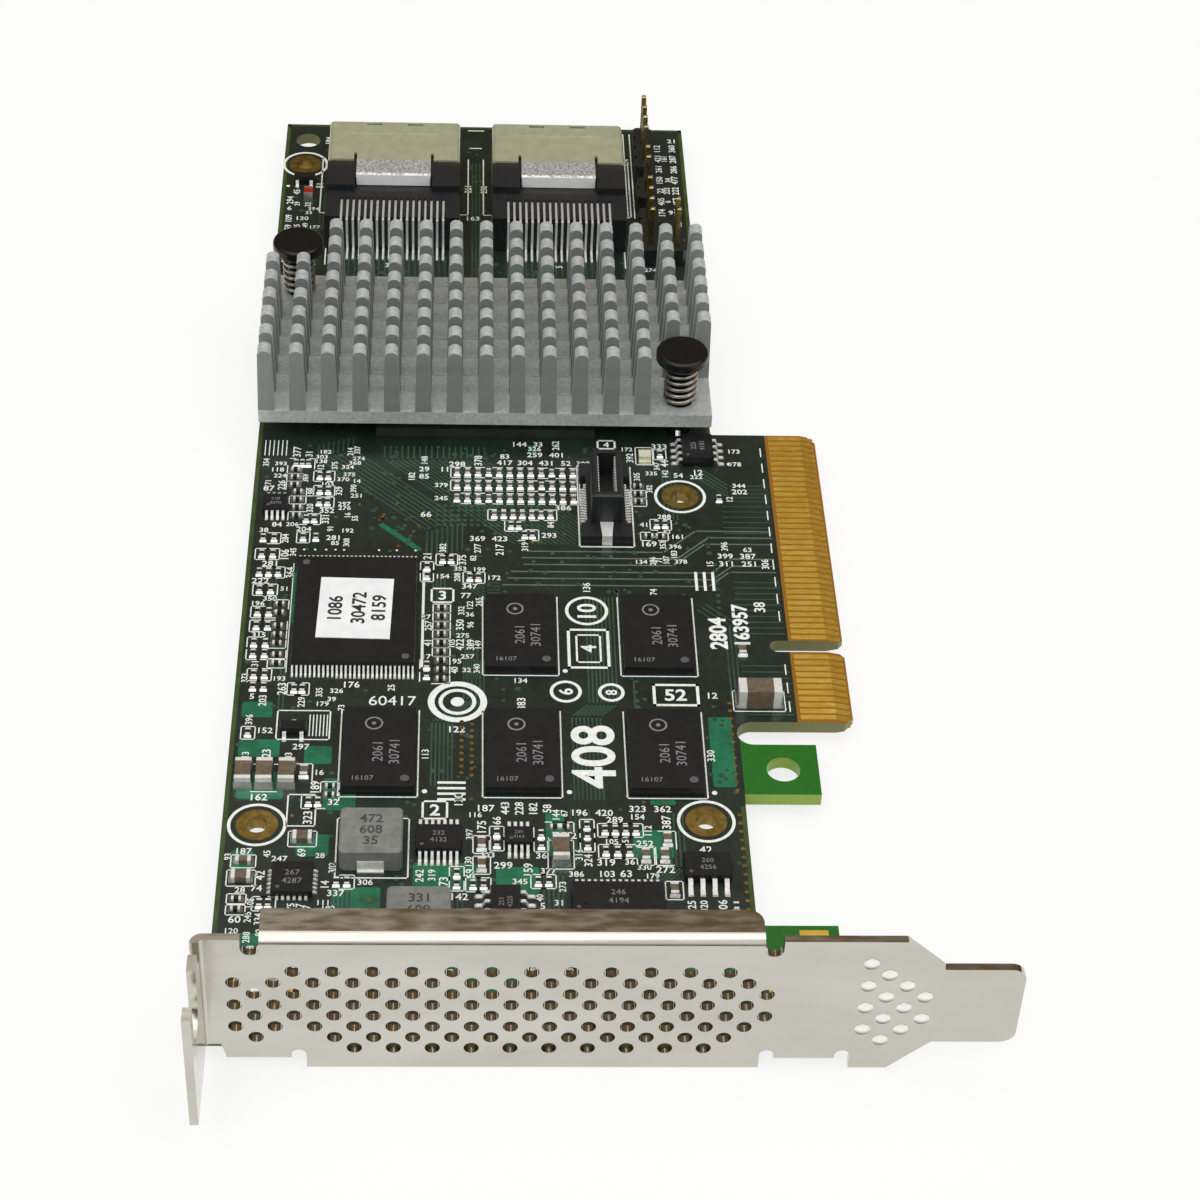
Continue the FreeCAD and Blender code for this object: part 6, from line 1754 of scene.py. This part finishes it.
@dataclass
class Studio:
    """Plain pale floor, soft lamps and the camera."""

    floor_colour: str = "F4F4F3"
    floor_reach: float = 3.0
    floor_gap: float = 0.0002
    floor_glow: float = 0.8  # share of its own light in what the camera and shiny parts see of the floor
    lamps: tuple[tuple[str, tuple[float, float, float], float, float], ...] = (
        ("key_lamp", (-0.35, -0.7, 0.85), 0.8, 2.6),
        ("fill_lamp", (0.7, -0.3, 0.7), 0.7, 1.2),
        ("top_lamp", (0.05, 0.1, 1.15), 1.2, 5.0),
    )
    room_lean: tuple[float, float, float] = (0.0, -0.6, 0.8)  # way to the bright side of the room
    camera_place: tuple[float, float, float] = (-14.891, -265.093, 223.733)
    pitch: float = 0.7202
    roll: float = 0.0498
    yaw: float = 0.0623
    lens: float = 86.82
    shift: Spot = (0.0032, 0.0075)

    def floor(self) -> None:
        """Lays the floor just under the object."""
        low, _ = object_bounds()
        shape = bmesh.new()
        matrix = Matrix.Translation((0.0, 0.0, low[2] - self.floor_gap))
        bmesh.ops.create_grid(shape, x_segments=1, y_segments=1, size=self.floor_reach, matrix=matrix)
        mesh = bpy.data.meshes.new("studio_floor")
        shape.to_mesh(mesh)
        shape.free()
        material = bpy.data.materials.new("studio_paper")
        material.use_nodes = True
        tree = material.node_tree
        tree.nodes.clear()
        paper = add_node(
            tree, "ShaderNodeBsdfPrincipled", {"Base Color": linear(self.floor_colour), "Roughness": 0.9}
        )
        glow = add_node(tree, "ShaderNodeEmission", {"Color": (1.0, 1.0, 1.0, 1.0), "Strength": 1.0})
        rays = add_node(tree, "ShaderNodeLightPath").outputs
        seen = rays["Is Camera Ray"]
        for kind in ("Is Glossy Ray", "Is Transmission Ray"):
            seen = add_node(
                tree, "ShaderNodeMath", links={0: seen, 1: rays[kind]}, operation="MAXIMUM"
            ).outputs[0]
        share = add_node(
            tree, "ShaderNodeMath", {1: self.floor_glow}, {0: seen}, operation="MULTIPLY"
        ).outputs[0]
        mixed = add_node(
            tree, "ShaderNodeMixShader", links={0: share, 1: paper.outputs[0], 2: glow.outputs[0]}
        )
        add_node(tree, "ShaderNodeOutputMaterial", links={"Surface": mixed.outputs[0]})
        mesh.materials.append(material)
        floor = bpy.data.objects.new("studio_floor", mesh)
        bpy.context.scene.collection.objects.link(floor)
        floor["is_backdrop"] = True

    def lamp(self, name: str, place: Sequence[float], size: float, power: float) -> None:
        """Hangs one soft square lamp that looks at the object.

        Args:
            name: the lamp's name.
            place: where it hangs, in metres.
            size: its side, in metres.
            power: its power, in watts.
        """
        light = bpy.data.lights.new(name, "AREA")
        light.shape = "SQUARE"
        light.size = size
        light.energy = power
        lamp = bpy.data.objects.new(name, light)
        lamp.location = place
        lamp.rotation_euler = (-Vector(place)).to_track_quat("-Z", "Y").to_euler()
        bpy.context.scene.collection.objects.link(lamp)

    def world(self) -> None:
        """Lights the room: a bright ceiling, dim walls near the floor and a dim warm wall behind."""
        world = bpy.data.worlds.new("studio_room")
        bpy.context.scene.world = world
        world.use_nodes = True
        tree = world.node_tree
        tree.nodes.clear()
        way = add_node(tree, "ShaderNodeTexCoord").outputs["Generated"]
        lean = add_node(
            tree, "ShaderNodeVectorMath", {1: self.room_lean}, {0: way}, operation="DOT_PRODUCT"
        ).outputs["Value"]
        level = add_node(
            tree, "ShaderNodeMapRange", {"From Min": 0.28, "From Max": 0.68}, {"Value": lean}
        ).outputs["Result"]
        rise = add_node(tree, "ShaderNodeSeparateXYZ", links={"Vector": way}).outputs["Z"]
        strength = add_node(
            tree, "ShaderNodeMapRange", {"From Min": 0.12, "From Max": 0.42, "To Min": 0.15}, {"Value": rise}
        ).outputs["Result"]
        tint = add_node(
            tree, "ShaderNodeMix", {6: linear("705D42"), 7: linear("F2F3F4")}, {0: level}, data_type="RGBA"
        ).outputs[2]
        light = add_node(tree, "ShaderNodeBackground", links={"Color": tint, "Strength": strength})
        add_node(tree, "ShaderNodeOutputWorld", links={"Surface": light.outputs[0]})

    def camera(self) -> None:
        """Sets the camera up in front of and above the bracket."""
        flat = math.cos(self.pitch)
        ahead = Vector((math.sin(self.yaw) * flat, math.cos(self.yaw) * flat, -math.sin(self.pitch)))
        level = Vector((math.cos(self.yaw), -math.sin(self.yaw), 0.0))
        upright = level.cross(ahead)
        right = math.cos(self.roll) * level + math.sin(self.roll) * upright
        up = -math.sin(self.roll) * level + math.cos(self.roll) * upright
        data = bpy.data.cameras.new("studio_camera")
        data.lens = self.lens
        data.sensor_width = 36.0
        data.shift_x, data.shift_y = self.shift
        data.clip_start = 0.01
        camera = bpy.data.objects.new("studio_camera", data)
        turned = Matrix((right, up, -ahead)).transposed().to_4x4()
        camera.matrix_world = Matrix.Translation(Vector(self.camera_place) * MM) @ turned
        bpy.context.scene.collection.objects.link(camera)
        bpy.context.scene.camera = camera

    def build(self) -> None:
        """Sets up the floor, lamps, room and camera."""
        self.floor()
        for lamp in self.lamps:
            self.lamp(*lamp)
        self.world()
        self.camera()
        bpy.context.scene.view_settings.view_transform = "Standard"


# ---------------------------------------------------------------- putting it together


def main() -> None:
    """Builds the card's looks in order and reports each group of pieces."""
    logging.basicConfig(level=logging.INFO, format="%(name)s: %(message)s")
    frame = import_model()
    plan = CardPlan.from_frame()
    book = FinishBook.from_frame(frame, plan)
    crowd = Crowd()
    silk = Layer(plan, 0.022, 0.018)
    LOG.info("passives: %d chips", Passives(plan, book, crowd).build(silk))
    LOG.info("packages: %d nodes", Chips(plan, book, crowd).build())
    LOG.info("flash label: %d nodes", FlashLabel(plan, book).build())
    LOG.info("board: %d numbers", Board(plan, book, crowd).build(silk))
    LOG.info("solder side: %d joints", SolderSide(plan, book).build())
    LOG.info("cooler: %d nodes", Cooler(plan, book).build())
    LOG.info("sockets: %d nodes", Sockets(plan, book).build())
    LOG.info("bracket: %d nodes", SlotBracket(plan, book).build())
    Studio().build()
    LOG.info("studio set")


if __name__ == "__main__":
    main()
